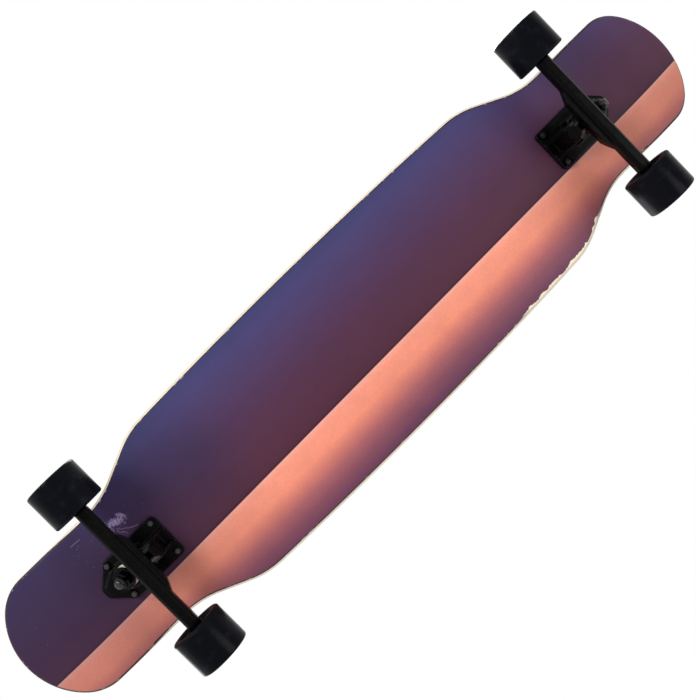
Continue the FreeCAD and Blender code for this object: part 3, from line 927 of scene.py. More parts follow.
@dataclass(frozen=True)
class PaleFloor(Finish):
    """Pale, half-clear floor that shows only from above and fades out round the board."""

    name: str = "pale_floor"
    tones: tuple[Colour, Colour] = (srgb(212, 212, 212), srgb(222, 222, 222))
    roughness: float = 0.9
    gloss: float = 0.1
    fade: Place = (0.65, 1.9)
    clearness: float = 0.5

    def lay(self, recipe: Recipe) -> None:
        """Lay the floor's finish, mixed with a clear one.

        Args:
            recipe: The material being made.
        """
        x, y, _ = recipe.place
        away = recipe.calc("SQRT", recipe.plus(recipe.times(x, x), recipe.times(y, y)))
        colour = recipe.mix(recipe.noise(3.0, 4.0), *self.tones)
        recipe.set(Base_Color=colour, Roughness=self.roughness, Specular_IOR_Level=self.gloss)
        clear = recipe.add("ShaderNodeBsdfTransparent")
        below = recipe.add("ShaderNodeNewGeometry").outputs["Backfacing"]
        blend = recipe.add("ShaderNodeMixShader")
        faded = recipe.spread(away, *self.fade, self.clearness)
        recipe.feed(blend.inputs[0], recipe.larger(below, faded))
        recipe.feed(blend.inputs[1], recipe.shader.outputs[0])
        recipe.feed(blend.inputs[2], clear.outputs[0])
        recipe.feed(recipe.found("OUTPUT_MATERIAL").inputs["Surface"], blend.outputs[0])


class Palette:
    """Every finish of the board, made once and shared by the pieces."""

    def __init__(self) -> None:
        """Make the materials."""
        oxide = srgb(22, 22, 25)
        rubbed = srgb(66, 64, 62)
        plated = srgb(96, 92, 86)
        bright = srgb(188, 188, 192)
        dulled = srgb(150, 146, 140)
        polished = srgb(206, 206, 210)
        handled = srgb(178, 178, 180)
        stamped = srgb(120, 120, 126)
        self.paint = DuskPaint().material()
        self.border = BorderLine().material()
        self.edge = PlyEdge().material()
        self.veneer = MapleVeneer().material()
        self.grit = GripGrit().material()
        self.coat = PowderCoat().material()
        self.wheel = BlackUrethane().material()
        self.bushing = CreamUrethane().material()
        self.dark_steel = Steel("dark_steel", oxide, rubbed, roughness=0.17).material()
        self.kingpin = Steel("kingpin_steel", srgb(70, 69, 68), plated, roughness=0.18).material()
        self.bolt = Steel("bolt_steel", srgb(74, 74, 74), plated, roughness=0.18).material()
        self.axle = Steel("axle_steel", srgb(150, 149, 146), plated, roughness=0.20).material()
        self.bright_steel = Steel("bright_steel", bright, dulled, roughness=0.28).material()
        self.bearing = Steel("bearing_steel", polished, handled, roughness=0.14, wear=0.3).material()
        self.shield = Steel("shield_steel", stamped, srgb(96, 94, 92), roughness=0.30).material()
        self.core = MouldedPlastic("moulded_core", srgb(16, 16, 18), roughness=0.5).material()
        self.cup = MouldedPlastic("moulded_cup", srgb(20, 20, 22), roughness=0.45).material()
        self.insert = MouldedPlastic("nylon_insert", srgb(58, 58, 64), roughness=0.42).material()


def dress(mesh: Mesh, materials: list[Material]) -> Mesh:
    """Give a mesh its materials, unless it has them already.

    Args:
        mesh: The mesh to dress.
        materials: Its materials, in the order of the mesh's material numbers.

    Returns:
        The same mesh.
    """
    if not mesh.materials:
        for material in materials:
            mesh.materials.append(material)
    return mesh


def place_piece(
    node: str,
    mesh: Mesh,
    materials: list[Material],
    body: str | None,
    crease: float = MACHINED_CREASE,
    name: str = "",
) -> Piece:
    """Put a finished mesh into the scene as a piece of the object.

    Args:
        node: The CAD node that it stands for.
        mesh: Its mesh, in the board's frame.
        materials: Its materials, in the order of the mesh's material numbers.
        body: The body it rides on, or None for a piece attached to no body.
        crease: Edges sharper than this many degrees stay sharp.
        name: The piece's name, where it isn't the node's own with a suffix.

    Returns:
        The piece's object.
    """
    mesh.shade_smooth()
    mesh.set_sharp_from_angle(angle=math.radians(crease))
    dress(mesh, materials)
    piece = bpy.data.objects.new(name or node + "_piece", mesh)
    bpy.context.scene.collection.objects.link(piece)
    if body:
        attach(piece, body)
    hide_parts(node)
    log.info("%s: %d faces, on %s, for %s", piece.name, len(mesh.polygons), body or "two bodies", node)
    return piece


def to_mesh(shape: Shape, name: str) -> Mesh:
    """Turn a bmesh into a mesh, and free it.

    Args:
        shape: The bmesh.
        name: The mesh's name.

    Returns:
        The mesh.
    """
    mesh = bpy.data.meshes.new(name)
    shape.to_mesh(mesh)
    shape.free()
    return mesh


def baked(mesh: Mesh, *modifiers: tuple[str, dict[str, object]]) -> Mesh:
    """Run modifiers on a mesh and keep their result.

    Args:
        mesh: The mesh to work on.
        *modifiers: Type names and settings of the modifiers, in order.

    Returns:
        The resulting mesh.
    """
    holder = bpy.data.objects.new(mesh.name + "_work", mesh)
    bpy.context.scene.collection.objects.link(holder)
    for kind, settings in modifiers:
        modifier = holder.modifiers.new(kind.lower(), kind)
        for name, value in settings.items():
            setattr(modifier, name, value)
    bpy.context.view_layer.update()
    finished = holder.evaluated_get(bpy.context.evaluated_depsgraph_get())
    result = bpy.data.meshes.new_from_object(finished)
    bpy.data.objects.remove(holder)
    return result


def joined(shapes: list[Shape], name: str) -> Mesh:
    """One mesh of several shapes, which are freed.

    Args:
        shapes: The shapes to join.
        name: The mesh's name.

    Returns:
        The joined mesh.
    """
    whole = bmesh.new()
    for shape in shapes:
        part = to_mesh(shape, name + "_part")
        whole.from_mesh(part)
        bpy.data.meshes.remove(part)
    return to_mesh(whole, name)


def cut_away(mesh: Mesh, shapes: list[Shape]) -> Mesh:
    """Cut shapes out of a mesh, and free them.

    Args:
        mesh: The mesh to cut.
        shapes: Closed shapes to take out of it.

    Returns:
        The cut mesh.
    """
    tool = bpy.data.objects.new("cutter", joined(shapes, "cutter"))
    bpy.context.scene.collection.objects.link(tool)
    result = baked(mesh, ("BOOLEAN", {"operation": "DIFFERENCE", "object": tool, "solver": "EXACT"}))
    bpy.data.objects.remove(tool)
    return result


def merged_copy(node: str) -> Mesh:
    """Copy a CAD node's mesh and join its loose triangles.

    Args:
        node: The CAD node.

    Returns:
        The copy, which leaves the node's own mesh alone.
    """
    shape = bmesh.new()
    shape.from_mesh(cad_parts[node].data)
    bmesh.ops.remove_doubles(shape, verts=shape.verts, dist=SAME_POINT)
    return to_mesh(shape, node + "_piece")


def machined(node: str, material: Material, body: str) -> None:
    """Place a turned or ground CAD piece, with smooth round faces."""
    place_piece(node, merged_copy(node), [material], body)


def cast(node: str, material: Material, body: str) -> None:
    """Place a cast CAD piece, with every edge and corner softened as a mould leaves it."""
    place_piece(node, baked(merged_copy(node), *CAST_SOFTENING), [material], body, CAST_CREASE)


@dataclass
class Lathe:
    """Turns closed profiles about an axis."""

    origin: Vector
    axis: Vector
    outward: Vector

    def turn(self, corners: list[Point], steps: int, segments: int = 3, material: int = 0) -> Shape:
        """Turn one closed profile.

        Args:
            corners: Place along the axis from the origin, radius, and length of the corner's rounding.
            steps: Steps round the axis.
            segments: Steps of each rounding.
            material: Material number of the faces.

        Returns:
            The turned shape.
        """
        shape = bmesh.new()
        points = []
        for along, radius, _ in corners:
            place = self.origin + self.axis * along + self.outward * radius
            points += bmesh.ops.create_vert(shape, co=place)["vert"]
        bmesh.ops.contextual_create(shape, geom=points)
        for point, (_, _, rounding) in zip(points, corners):
            if rounding:
                bmesh.ops.bevel(shape, geom=[point], offset=rounding, segments=segments, profile=0.5,
                                affect="VERTICES", clamp_overlap=False, material=-1)
        bmesh.ops.delete(shape, geom=shape.faces[:], context="FACES_ONLY")
        bmesh.ops.spin(shape, geom=shape.verts[:] + shape.edges[:], cent=self.origin, axis=self.axis,
                       angle=math.tau, steps=steps, use_merge=True)
        bmesh.ops.remove_doubles(shape, verts=shape.verts, dist=SAME_POINT)
        bmesh.ops.recalc_face_normals(shape, faces=shape.faces)
        for face in shape.faces:
            face.material_index = material
        return shape


@dataclass(frozen=True)
class LockNut:
    """Six-sided lock nut with eased corners, a rolled collar and a nylon ring."""

    flats: float
    height: float
    bore: float
    hex_share: float = 0.70
    corner_share: float = 0.09
    corner_steps: int = 2
    collar_share: float = 0.46
    ring_share: float = 0.62
    ring_lap: float = 1.05
    sunk_share: float = 0.9
    roll_share: float = 0.6
    nylon_drop: float = 0.0004
    lip_round: float = 0.0002
    steps: int = 48

    def shapes(self, foot: Vector, axis: Vector) -> list[Shape]:
        """The nut's body, collar and ring, with the nylon as material 1.

        Args:
            foot: Middle of the face that the nut bears on.
            axis: Direction from there through the nut.

        Returns:
            The three shapes.
        """
        radius = self.flats / math.sqrt(3.0)
        body = self.height * self.hex_share
        facing = axis.to_track_quat("Z", "Y").to_matrix().to_4x4()
        nut = bmesh.new()
        bmesh.ops.create_cone(nut, cap_ends=True, segments=HEX_SIDES, radius1=radius, radius2=radius,
                              depth=body, matrix=Matrix.Translation(foot + axis * body / 2) @ facing)
        bmesh.ops.bevel(nut, geom=nut.verts[:], offset=self.flats * self.corner_share,
                        segments=self.corner_steps, profile=0.5, affect="VERTICES", clamp_overlap=False,
                        material=-1)
        lathe = Lathe(foot, axis, axis.orthogonal().normalized())
        collar = self.flats * self.collar_share
        ring = self.bore + (collar - self.bore) * self.ring_share
        inside = self.bore * self.sunk_share
        sunk = body * self.sunk_share
        nylon_top = self.height - self.nylon_drop
        rolled = lathe.turn([
            (sunk, inside, 0.0),
            (sunk, collar, 0.0),
            (self.height, collar, (self.height - body) * self.roll_share),
            (self.height, ring, self.lip_round),
        ], self.steps)
        nylon = lathe.turn([
            (body, inside, 0.0),
            (body, ring * self.ring_lap, 0.0),
            (nylon_top, ring * self.ring_lap, 0.0),
            (nylon_top, self.bore, self.lip_round),
        ], self.steps, material=1)
        return [nut, rolled, nylon]


@dataclass(frozen=True)
class Thread:
    """Threaded end of a pin, whose ridges are left by cutting rings out of it."""

    radius: float
    start: float
    end: float
    pitch: float
    half_share: float = 0.48
    depth_share: float = 0.55
    clear_share: float = 0.05
    steps: int = 48

    def grooves(self, lathe: Lathe) -> list[Shape]:
        """The rings to cut out.

        Args:
            lathe: The lathe on the pin's own line.

        Returns:
            The rings, each pointed inwards.
        """
        half = self.half_share * self.pitch
        root = self.radius - self.depth_share * self.pitch
        crest = self.radius + self.clear_share * self.pitch
        rings = []
        for index in range(int((self.end - self.start) / self.pitch)):
            middle = self.start + self.pitch * (index + 0.5)
            corners = [(middle - half, crest, 0.0), (middle, root, 0.0), (middle + half, crest, 0.0)]
            rings.append(lathe.turn(corners, self.steps))
        return rings


@dataclass
class DeckAssembly:
    """The pressed deck and the grip sheet on its top."""

    palette: Palette
    half_length: float = 0.511
    cut_in: float = 0.0385
    thickness: float = 0.011
    edge_round: float = 0.0035
    round_steps: int = 5
    rim_band: float = 0.006
    underside: float = 0.102
    belly_drop: float = 0.0048
    belly_steps: int = 10
    shoulder_turn: float = math.radians(25.0)
    shoulder_radius: float = 0.100
    shoulder_reach: float = 0.102
    shoulder_steps: int = 10
    neck_radius: float = 0.100
    neck_steps: int = 12
    corner_offset: float = 0.018
    corner_steps: int = 14
    end_bulge: float = 0.008
    end_steps: int = 14
    kick_start: float = 0.3925
    kick_turn: float = math.radians(22.0)
    kick_radius: float = 0.200
    kick_cuts: int = 12
    side_slopes: Place = (-0.999, -0.95)
    end_slopes: Place = (-0.95, -0.80)
    veneer_slope: float = 0.95
    grip_thickness: float = 0.001
    grip_margin: float = 0.0045
    grip_round: float = 0.0003
    bolt_head: float = 0.00495
    bolt_hole: float = 0.00275
    hole_length: float = 0.044
    hole_steps: int = 32
    flat_weight: int = 80

    def outline(self, shape: Shape, inset: float) -> None:
        """Trace the deck's outline in plan and fill it.

        Args:
            shape: The empty bmesh to draw in.
            inset: How far inside the deck's own edge the outline runs.
        """
        belly_end = AXLE_PLACE - self.shoulder_reach
        belly_radius = (belly_end ** 2 + self.belly_drop ** 2) / (2 * self.belly_drop)
        belly_turn = math.asin(belly_end / belly_radius)
        half_neck = DECK_HALF_WIDTH - self.cut_in
        turn = self.shoulder_turn
        belly_centre = Vector((0.0, DECK_HALF_WIDTH - belly_radius, 0.0))
        heading = Vector((math.sin(belly_turn), math.cos(belly_turn), 0.0))
        shoulder_centre = belly_centre + heading * (belly_radius - self.shoulder_radius)
        fall = (shoulder_centre.y + self.shoulder_radius * math.cos(turn) - half_neck
                - self.neck_radius * (1 - math.cos(turn)))
        neck_x = (shoulder_centre.x + (self.shoulder_radius + self.neck_radius) * math.sin(turn)
                  + fall / math.tan(turn))
        neck_centre = Vector((neck_x, half_neck + self.neck_radius, 0.0))
        corner_radius = half_neck - self.corner_offset
        corner_x = self.half_length - corner_radius - self.end_bulge
        corner_centre = Vector((corner_x, self.corner_offset, 0.0))
        tip_radius = corner_radius + self.end_bulge / 2 + self.corner_offset ** 2 / (2 * self.end_bulge)
        tip_centre = Vector((self.half_length - tip_radius, 0.0, 0.0))
        corner_turn = math.atan2(corner_centre.x - tip_centre.x, corner_centre.y)
        slope = Vector((math.cos(turn), -math.sin(turn), 0.0)) * (fall / math.sin(turn))

        point = bmesh.ops.create_vert(shape, co=(0.0, DECK_HALF_WIDTH - inset, 0.0))["vert"][0]
        point = self.arc(shape, point, belly_centre, -belly_turn, self.belly_steps)
        point = self.arc(shape, point, shoulder_centre, belly_turn - turn, self.shoulder_steps)
        point = self.run(shape, point, slope)
        point = self.arc(shape, point, neck_centre, turn, self.neck_steps)
        point = self.run(shape, point, Vector((corner_centre.x - neck_x, 0.0, 0.0)))
        point = self.arc(shape, point, corner_centre, -corner_turn, self.corner_steps)
        self.arc(shape, point, tip_centre, corner_turn - math.pi / 2, self.end_steps)
        for axis in ("Y", "X"):
            bmesh.ops.mirror(shape, geom=shape.verts[:] + shape.edges[:], axis=axis,
                             merge_dist=SAME_POINT)
        bmesh.ops.remove_doubles(shape, verts=shape.verts, dist=SAME_POINT)
        bmesh.ops.contextual_create(shape, geom=shape.edges[:])

    @staticmethod
    def arc(
        shape: Shape, point: bmesh.types.BMVert, centre: Vector, turn: float, steps: int,
    ) -> bmesh.types.BMVert:
        """Draw an arc on from a point.

        Args:
            shape: The bmesh to draw in.
            point: Where the arc starts.
            centre: The arc's centre.
            turn: How far it turns, anticlockwise from above.
            steps: How many straight steps it has.

        Returns:
            The arc's last vertex.
        """
        made = bmesh.ops.spin(shape, geom=[point], cent=centre, axis=UP, angle=turn, steps=steps)
        return next(item for item in made["geom_last"] if isinstance(item, bmesh.types.BMVert))

    @staticmethod
    def run(shape: Shape, point: bmesh.types.BMVert, step: Vector) -> bmesh.types.BMVert:
        """Draw a straight run on from a point.

        Args:
            shape: The bmesh to draw in.
            point: Where the run starts.
            step: From there to its end.

        Returns:
            The run's last vertex.
        """
        made = bmesh.ops.extrude_vert_indiv(shape, verts=[point])["verts"]
        bmesh.ops.translate(shape, verts=made, vec=step)
        return made[0]

    def layer(self, low: float, high: float, inset: float, rounding: float) -> Shape:
        """A flat layer of the deck with rounded rims.

        Args:
            low: Its lower face's height above the deck's underside.
            high: Its upper face's height above the deck's underside.
            inset: How far inside the deck's edge it ends.
            rounding: Radius of its rims.

        Returns:
            The layer, still flat and measured from z = 0.
        """
        shape = bmesh.new()
        self.outline(shape, inset)
        bmesh.ops.translate(shape, verts=shape.verts, vec=UP * low)
        made = bmesh.ops.extrude_face_region(shape, geom=shape.faces[:])["geom"]
        top = [item for item in made if isinstance(item, bmesh.types.BMVert)]
        bmesh.ops.translate(shape, verts=top, vec=UP * (high - low))
        bmesh.ops.recalc_face_normals(shape, faces=shape.faces)
        # Only the two flat faces have more than four corners
        rims = [edge for edge in shape.edges if any(len(face.verts) > 4 for face in edge.link_faces)]
        bmesh.ops.bevel(shape, geom=rims, offset=rounding, segments=self.round_steps, profile=0.5,
                        affect="EDGES", clamp_overlap=False, material=-1)
        return shape

    @staticmethod
    def cut_across(shape: Shape, place: float) -> None:
        """Cut a layer straight across towards both ends.

        Args:
            shape: The layer.
            place: Distance of both cuts from the middle.
        """
        for end in End:
            bmesh.ops.bisect_plane(shape, geom=shape.verts[:] + shape.edges[:] + shape.faces[:],
                                   dist=SAME_POINT, plane_co=(end.value * place, 0.0, 0.0),
                                   plane_no=(1.0, 0.0, 0.0))

    def bend(self, shape: Shape) -> None:
        """Cut a layer's ends so that they can curve, bend them up, and raise the layer to its place.

        Args:
            shape: The flat layer.
        """
        bent = self.kick_radius * math.sin(self.kick_turn)
        for index in range(self.kick_cuts + 1):
            self.cut_across(shape, self.kick_start + bent * index / self.kick_cuts)
        for vertex in shape.verts:
            lift = vertex.co.z
            past = abs(vertex.co.x) - self.kick_start
            radius = self.kick_radius - vertex.co.z
            reach = radius * math.sin(self.kick_turn)
            if past > reach:
                rise = (past - reach) * math.tan(self.kick_turn)
                lift = self.kick_radius - radius * math.cos(self.kick_turn) + rise
            elif past > 0:
                lift = self.kick_radius - math.sqrt(radius ** 2 - past ** 2)
            vertex.co.z = self.underside + lift

    def drill(self, mesh: Mesh, radius: float) -> Mesh:
        """Cut the mounting-bolt holes through a layer.

        Args:
            mesh: The layer's mesh.
            radius: The holes' radius.

        Returns:
            The drilled mesh.
        """
        cutter = bmesh.new()
        for end in End:
            for x, y in bolt_places(end):
                at = Matrix.Translation((x, y, self.underside + self.thickness / 2))
                bmesh.ops.create_cone(cutter, cap_ends=True, segments=self.hole_steps, radius1=radius,
                                      radius2=radius, depth=self.hole_length, matrix=at)
        return cut_away(mesh, [cutter])

    def finish_of(self, slope: float, at_end: bool) -> DeckFinish:
        """The finish of a face of the deck, from how far it faces down or up.

        Args:
            slope: The height of its unit normal.
            at_end: Whether it is on the nose or the tail, where the paint reaches further round the rim.

        Returns:
            The finish.
        """
        painted, bordered = self.end_slopes if at_end else self.side_slopes
        if slope < painted:
            return DeckFinish.PAINT
        if slope < bordered:
            return DeckFinish.BORDER
        return DeckFinish.VENEER if slope > self.veneer_slope else DeckFinish.EDGE

    def map_rims(self, shape: Shape) -> None:
        """Lay the map that the paint and the ply edge are read from.

        Painted faces hold how near the rim is. The others hold the place round the rim and the height.

        Args:
            shape: The deck, still flat and with its finishes chosen.
        """
        chart = shape.loops.layers.uv.new(PLY_MAP)
        paint = DeckFinish.PAINT.value
        for face in shape.faces:
            for loop in face.loops:
                place = loop.vert.co
                inner = all(other.material_index == paint for other in loop.vert.link_faces)
                near = 0.0 if inner else 1.0
                across = near if face.material_index == paint else place.x + place.y
                loop[chart].uv = (across, place.z / self.thickness)

    def weigh_normals(self, piece: Piece) -> None:
        """Keep the large faces' shading flat up to their rounded rims.

        Args:
            piece: The deck or the grip sheet.
        """
        modifier = piece.modifiers.new("weighted_normals", "WEIGHTED_NORMAL")
        modifier.keep_sharp = True
        modifier.weight = self.flat_weight

    def build_deck(self) -> None:
        """Build the deck, with its painted underside, layered edge and veneered top."""
        shape = self.layer(0.0, self.thickness, 0.0, self.edge_round)
        self.cut_across(shape, self.kick_start)
        flat = [face for face in shape.faces if self.finish_of(face.normal.z, False) is DeckFinish.PAINT]
        bmesh.ops.inset_region(shape, faces=flat, thickness=self.rim_band, use_even_offset=True)
        for face in shape.faces:
            at_end = abs(face.calc_center_median().x) > self.kick_start
            face.material_index = self.finish_of(face.normal.z, at_end).value
        self.map_rims(shape)
        self.bend(shape)
        finishes = [self.palette.paint, self.palette.border, self.palette.edge, self.palette.veneer]
        mesh = self.drill(dress(to_mesh(shape, "deck_piece"), finishes), self.bolt_hole)
        self.weigh_normals(place_piece("deck", mesh, finishes, DECK_BODY, PRESSED_CREASE))

    def build_grip(self) -> None:
        """Build the grip sheet, with a hole round each bolt head."""
        top = self.thickness + self.grip_thickness
        shape = self.layer(self.thickness, top, self.grip_margin, self.grip_round)
        self.bend(shape)
        mesh = self.drill(to_mesh(shape, "grip_piece"), self.bolt_head)
        finishes = [self.palette.grit]
        self.weigh_normals(place_piece("grip_tape", mesh, finishes, DECK_BODY, PRESSED_CREASE,
                                       "grip_piece"))

    def build(self) -> None:
        """Build the deck and the grip sheet."""
        self.build_deck()
        self.build_grip()


@dataclass
class WheelAssembly:
    """One wheel: tyre, core and the bearing parts that turn with it."""

    palette: Palette
    end: End
    side: Side
    half_width: float = 0.022
    radius: float = 0.030
    lip: float = 0.0025
    mouth: float = 0.022
    mouth_round: float = 0.0018
    core_radius: float = 0.017
    core_half: float = 0.013
    seat: float = 0.01101
    seat_round: float = 0.0006
    shoulder: float = 0.0018
    shoulder_half: float = 0.005
    shoulder_round: float = 0.0004
    steps: int = 96
    tyre_round_steps: int = 5
    core_round_steps: int = 2

    @property
    def corner_name(self) -> str:
        """The wheel's end and side, as node and body names start."""
        return f"{self.end.word}_{self.side.word}"

    @property
    def body(self) -> str:
        """The wheel's body."""
        return self.corner_name + "_wheel"

    @property
    def lathe(self) -> Lathe:
        """The lathe on the wheel's axle, measured from the wheel's middle."""
        centre = Vector((self.end.value * AXLE_PLACE, self.side.value * WHEEL_MIDDLE, AXLE_HEIGHT))
        return Lathe(centre, LEFTWARD, UP)

    def build_tyre(self) -> None:
        """Build the urethane tyre."""
        half = self.half_width
        shape = self.lathe.turn([
            (-self.core_half, self.core_radius, 0.0),
            (-half, self.mouth, self.mouth_round),
            (-half, self.radius, self.lip),
            (half, self.radius, self.lip),
            (half, self.mouth, self.mouth_round),
            (self.core_half, self.core_radius, 0.0),
        ], self.steps, self.tyre_round_steps)
        node = self.body + "_tyre"
        place_piece(node, to_mesh(shape, node), [self.palette.wheel], self.body)

    def build_core(self) -> None:
        """Build the moulded core that carries the bearings."""
        half = self.core_half
        step = self.shoulder_half
        inner = self.seat - self.shoulder
        shape = self.lathe.turn([
            (-half, self.seat, self.seat_round),
            (-half, self.core_radius, 0.0),
            (half, self.core_radius, 0.0),
            (half, self.seat, self.seat_round),
            (step, self.seat, 0.0),
            (step, inner, self.shoulder_round),
            (-step, inner, self.shoulder_round),
            (-step, self.seat, 0.0),
        ], self.steps, self.core_round_steps)
        node = self.body + "_core"
        place_piece(node, to_mesh(shape, node), [self.palette.core], self.body)

    def build(self) -> None:
        """Build the wheel's pieces."""
        self.build_tyre()
        self.build_core()
        for part, material, slot in (
            ("outer_races", self.palette.bearing, Slot.BEARING),
            ("balls", self.palette.bearing, Slot.BEARING),
            ("cages", self.palette.core, Slot.CORE),
            ("shields", self.palette.shield, Slot.SHIELD),
        ):
            machined(f"{self.corner_name}_bearing_{part}", material, self.body)


@dataclass
class TruckAssembly:
    """One truck: the baseplate's fixed pieces, the bushings and the tilting hanger with its axle."""

    palette: Palette
    end: End
    ring_out: float = 0.0142
    ring_height: float = 0.071
    tilt: float = math.radians(35.0)
    bushing_start: float = 0.003
    boardside_height: float = 0.013
    roadside_height: float = 0.010
    bushing_bore: float = 0.00505
    bushing_radius: float = 0.0125
    bushing_round: float = 0.0012
    cone_end: float = 0.012
    waist_bulge: float = 0.0002
    waist_round: float = 0.004
    bushing_steps: int = 64
    bushing_round_steps: int = 4
    plate_bottom: float = 0.096
    bolt_top: float = 0.1134
    bolt_thread: Thread = Thread(radius=0.0025, start=0.0046, end=0.0070, pitch=0.0008)
    socket_radius: float = 0.0018
    socket_depth: float = 0.0022
    mounting_nut: LockNut = LockNut(flats=0.008, height=0.005, bore=0.00251)
    kingpin_thread: Thread = Thread(radius=0.005, start=0.0218, end=0.0270, pitch=0.00125)
    kingpin_nut: LockNut = LockNut(flats=0.016, height=0.008, bore=0.00501)
    kingpin_nut_start: float = 0.015
    axle_nut: LockNut = LockNut(flats=0.013, height=0.008, bore=0.00401)
    axle_nut_place: float = 0.1164

    @property
    def hanger_body(self) -> str:
        """The hanger's body, which its pieces are attached to."""
        return self.end.word + "_hanger"

    @property
    def ring_centre(self) -> Vector:
        """Middle of the hanger's ring."""
        return Vector((self.end.value * (AXLE_PLACE + self.ring_out), 0.0, self.ring_height))

    @property
    def kingpin_axis(self) -> Vector:
        """Direction of the kingpin, towards the road."""
        return Vector((self.end.value * math.sin(self.tilt), 0.0, -math.cos(self.tilt)))

    @property
    def kingpin_lathe(self) -> Lathe:
        """The lathe on the kingpin, measured from the middle of the hanger's ring."""
        return Lathe(self.ring_centre, self.kingpin_axis, LEFTWARD)

    def node(self, part: str) -> str:
        """A part's full node name."""
        return f"{self.end.word}_{part}"

    def build_bushing(self, part: str, near: float, far: float, far_radius: float) -> None:
        """Build one bushing, which is attached to no body.

        Args:
            part: The bushing's node, without the end's word.
            near: Its end at the ring, along the kingpin.
            far: Its end at the washer.
            far_radius: Its radius at the washer.
        """
        node = self.node(part)
        waist = (self.bushing_radius + far_radius) / 2 + self.waist_bulge
        shape = self.kingpin_lathe.turn([
            (near, self.bushing_bore, 0.0),
            (near, self.bushing_radius, self.bushing_round),
            ((near + far) / 2, waist, self.waist_round),
            (far, far_radius, self.bushing_round),
            (far, self.bushing_bore, 0.0),
        ], self.bushing_steps, self.bushing_round_steps)
        bmesh.ops.subdivide_edges(shape, edges=shape.edges[:], cuts=1)
        piece = place_piece(node, to_mesh(shape, node), [self.palette.bushing], None)
        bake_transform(piece)

    def build_nuts(self, part: str, nut: LockNut, places: list[tuple[Vector, Vector]], body: str) -> None:
        """Build a group of lock nuts.

        Args:
            part: The nuts' node, without the end's word.
            nut: The kind of nut.
            places: Each nut's foot and axis.
            body: The body they ride on.
        """
        node = self.node(part)
        mesh = joined([shape for foot, axis in places for shape in nut.shapes(foot, axis)], node)
        place_piece(node, mesh, [self.palette.dark_steel, self.palette.insert], body)

    def build_kingpin(self) -> None:
        """Build the kingpin, with a threaded end below its nut."""
        node = self.node("kingpin")
        mesh = cut_away(merged_copy(node), self.kingpin_thread.grooves(self.kingpin_lathe))
        place_piece(node, mesh, [self.palette.kingpin], DECK_BODY)

    def build_bolts(self) -> None:
        """Build the mounting bolts, with a six-sided socket in each head and a threaded end."""
        node = self.node("mounting_bolts")
        sockets = bmesh.new()
        grooves = []
        for x, y in bolt_places(self.end):
            at = Matrix.Translation((x, y, self.bolt_top))
            bmesh.ops.create_cone(sockets, cap_ends=True, segments=HEX_SIDES, radius1=self.socket_radius,
                                  radius2=self.socket_radius, depth=2 * self.socket_depth, matrix=at)
            lathe = Lathe(Vector((x, y, self.plate_bottom)), -UP, LEFTWARD)
            grooves += self.bolt_thread.grooves(lathe)
        mesh = cut_away(merged_copy(node), [sockets, *grooves])
        place_piece(node, mesh, [self.palette.bolt], DECK_BODY)

    def build_all_nuts(self) -> None:
        """Build the nuts of the kingpin, the mounting bolts and the axle."""
        kingpin = [(self.ring_centre + self.kingpin_axis * self.kingpin_nut_start, self.kingpin_axis)]
        mounting = [(Vector((x, y, self.plate_bottom)), -UP) for x, y in bolt_places(self.end)]
        middle = Vector((self.end.value * AXLE_PLACE, 0.0, AXLE_HEIGHT))
        outward = [LEFTWARD * side.value for side in Side]
        axle = [(middle + direction * self.axle_nut_place, direction) for direction in outward]
        self.build_nuts("kingpin_nut", self.kingpin_nut, kingpin, DECK_BODY)
        self.build_nuts("mounting_nuts", self.mounting_nut, mounting, DECK_BODY)
        self.build_nuts("axle_nuts", self.axle_nut, axle, self.hanger_body)

    def build(self) -> None:
        """Build the truck's pieces."""
        near = self.bushing_start
        palette = self.palette
        self.build_bushing("boardside_bushing", -near, -near - self.boardside_height, self.bushing_radius)
        self.build_bushing("roadside_bushing", near, near + self.roadside_height, self.cone_end)
        cast(self.node("baseplate"), palette.coat, DECK_BODY)
        cast(self.node("hanger"), palette.coat, self.hanger_body)
        machined(self.node("pivot_cup"), palette.cup, DECK_BODY)
        self.build_kingpin()
        for part in ("boardside_washer", "roadside_washer"):
            machined(self.node(part), palette.dark_steel, DECK_BODY)
        self.build_bolts()
        self.build_all_nuts()
        for part, material, slot in (
            ("axle", palette.axle, Slot.BRIGHT_STEEL),
            ("speed_rings", palette.bright_steel, Slot.BRIGHT_STEEL),
            ("bearing_spacers", palette.bright_steel, Slot.BRIGHT_STEEL),
            ("bearing_inner_races", palette.bearing, Slot.BEARING),
        ):
            machined(self.node(part), material, self.hanger_body)


@dataclass
class SoftLamp:
    """A large soft lamp aimed at the board."""

    name: str
    place: Point
    size: float
    power: float
    aim: Point = (0.0, 0.0, 0.08)

    def build(self) -> None:
        """Hang the lamp."""
        lamp = bpy.data.lights.new(self.name, "AREA")
        lamp.shape = "DISK"
        lamp.size = self.size
        lamp.energy = self.power
        holder = bpy.data.objects.new(self.name, lamp)
        holder.location = self.place
        ray = Vector(self.aim) - Vector(self.place)
        holder.rotation_euler = ray.to_track_quat("-Z", "Y").to_euler()
        holder.visible_camera = False
        bpy.context.scene.collection.objects.link(holder)


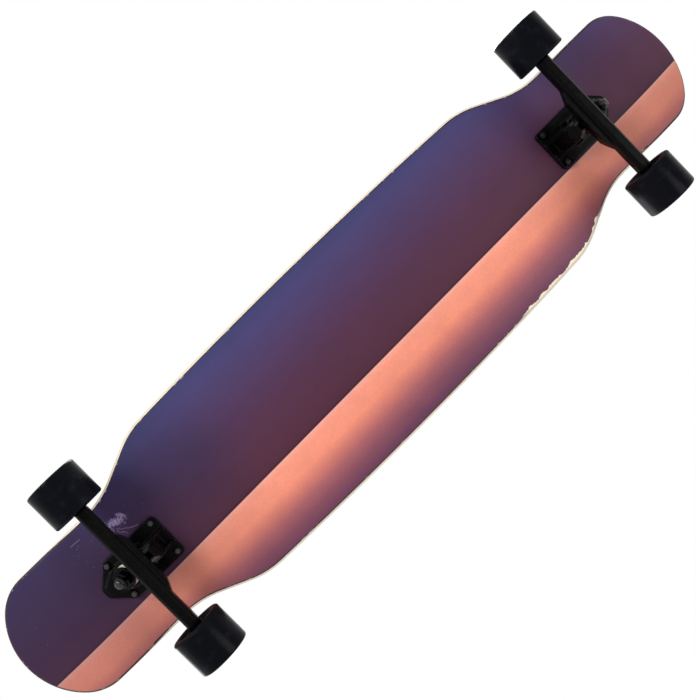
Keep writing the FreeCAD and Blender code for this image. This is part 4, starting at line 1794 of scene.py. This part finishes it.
@dataclass
class Studio:
    """Camera under the board, a pale floor that is clear from below, soft lamps and a white surround."""

    camera_place: Point = (-0.170489, -0.056492, -1.088296)
    camera_turn: Point = (-0.005682, -0.134107, -0.777634)
    lens: float = 55.92
    sensor: float = 36.0
    nearest: float = 0.01
    ambient: float = 0.40
    floor_half: float = 2.0
    floor_finish: PaleFloor = PaleFloor()
    lamps: list[SoftLamp] = field(default_factory=lambda: [
        SoftLamp("under_key", (-0.9, -1.1, -1.5), size=0.8, power=22.0),
        SoftLamp("under_fill", (1.1, 0.8, -1.6), size=1.2, power=17.0),
        SoftLamp("side_glint", (-1.0, -1.0, -0.5), size=0.15, power=3.0),
        SoftLamp("over_key", (0.9, -1.2, 1.9), size=1.6, power=42.0),
        SoftLamp("over_fill", (-1.3, 1.1, 1.6), size=2.0, power=24.0),
    ])

    def build_camera(self) -> None:
        """Set the camera at the viewing angle, from below."""
        lens = bpy.data.cameras.new("viewpoint")
        lens.sensor_fit = "VERTICAL"
        lens.sensor_height = self.sensor
        lens.lens = self.lens
        lens.clip_start = self.nearest
        turn = Vector(self.camera_turn)
        rows = Matrix.Rotation(turn.length, 3, turn.normalized())
        facing = Matrix((rows[0], -rows[1], -rows[2])).transposed()
        holder = bpy.data.objects.new("viewpoint", lens)
        holder.matrix_world = Matrix.Translation(self.camera_place) @ facing.to_4x4()
        bpy.context.scene.collection.objects.link(holder)
        bpy.context.scene.camera = holder

    def build_floor(self) -> None:
        """Lay the floor under the wheels."""
        shape = bmesh.new()
        bmesh.ops.create_grid(shape, x_segments=1, y_segments=1, size=self.floor_half)
        floor = bpy.data.objects.new("pale_floor", to_mesh(shape, "pale_floor"))
        floor.data.materials.append(self.floor_finish.material())
        floor.visible_shadow = False
        bpy.context.scene.collection.objects.link(floor)

    def build_surround(self) -> None:
        """Make the surround white where it is seen, and a plain soft light elsewhere."""
        world = bpy.data.worlds.new("surround")
        bpy.context.scene.world = world
        world.use_nodes = True
        tree = world.node_tree
        back = next(node for node in tree.nodes if node.type == "BACKGROUND")
        path = tree.nodes.new("ShaderNodeLightPath")
        seen = path.outputs["Is Camera Ray"]
        for ray in ("Is Glossy Ray", "Is Transmission Ray"):
            join = tree.nodes.new("ShaderNodeMath")
            join.operation = "MAXIMUM"
            tree.links.new(seen, join.inputs[0])
            tree.links.new(path.outputs[ray], join.inputs[1])
            seen = join.outputs[0]
        level = tree.nodes.new("ShaderNodeMapRange")
        level.inputs["To Min"].default_value = self.ambient
        level.inputs["To Max"].default_value = 1.0
        tree.links.new(seen, level.inputs["Value"])
        back.inputs["Color"].default_value = (1.0, 1.0, 1.0, 1.0)
        tree.links.new(level.outputs[0], back.inputs["Strength"])

    def build(self) -> None:
        """Set up the whole studio."""
        self.build_camera()
        self.build_floor()
        self.build_surround()
        for lamp in self.lamps:
            lamp.build()
        bpy.context.scene.view_settings.view_transform = "Standard"


def main() -> None:
    """Build the studio and every sub-assembly, in order."""
    logging.basicConfig(level=logging.INFO, format="%(name)s: %(message)s")
    Studio().build()
    palette = Palette()
    DeckAssembly(palette).build()
    for end in End:
        TruckAssembly(palette, end).build()
        for side in Side:
            WheelAssembly(palette, end, side).build()


if __name__ == "__main__":
    main()
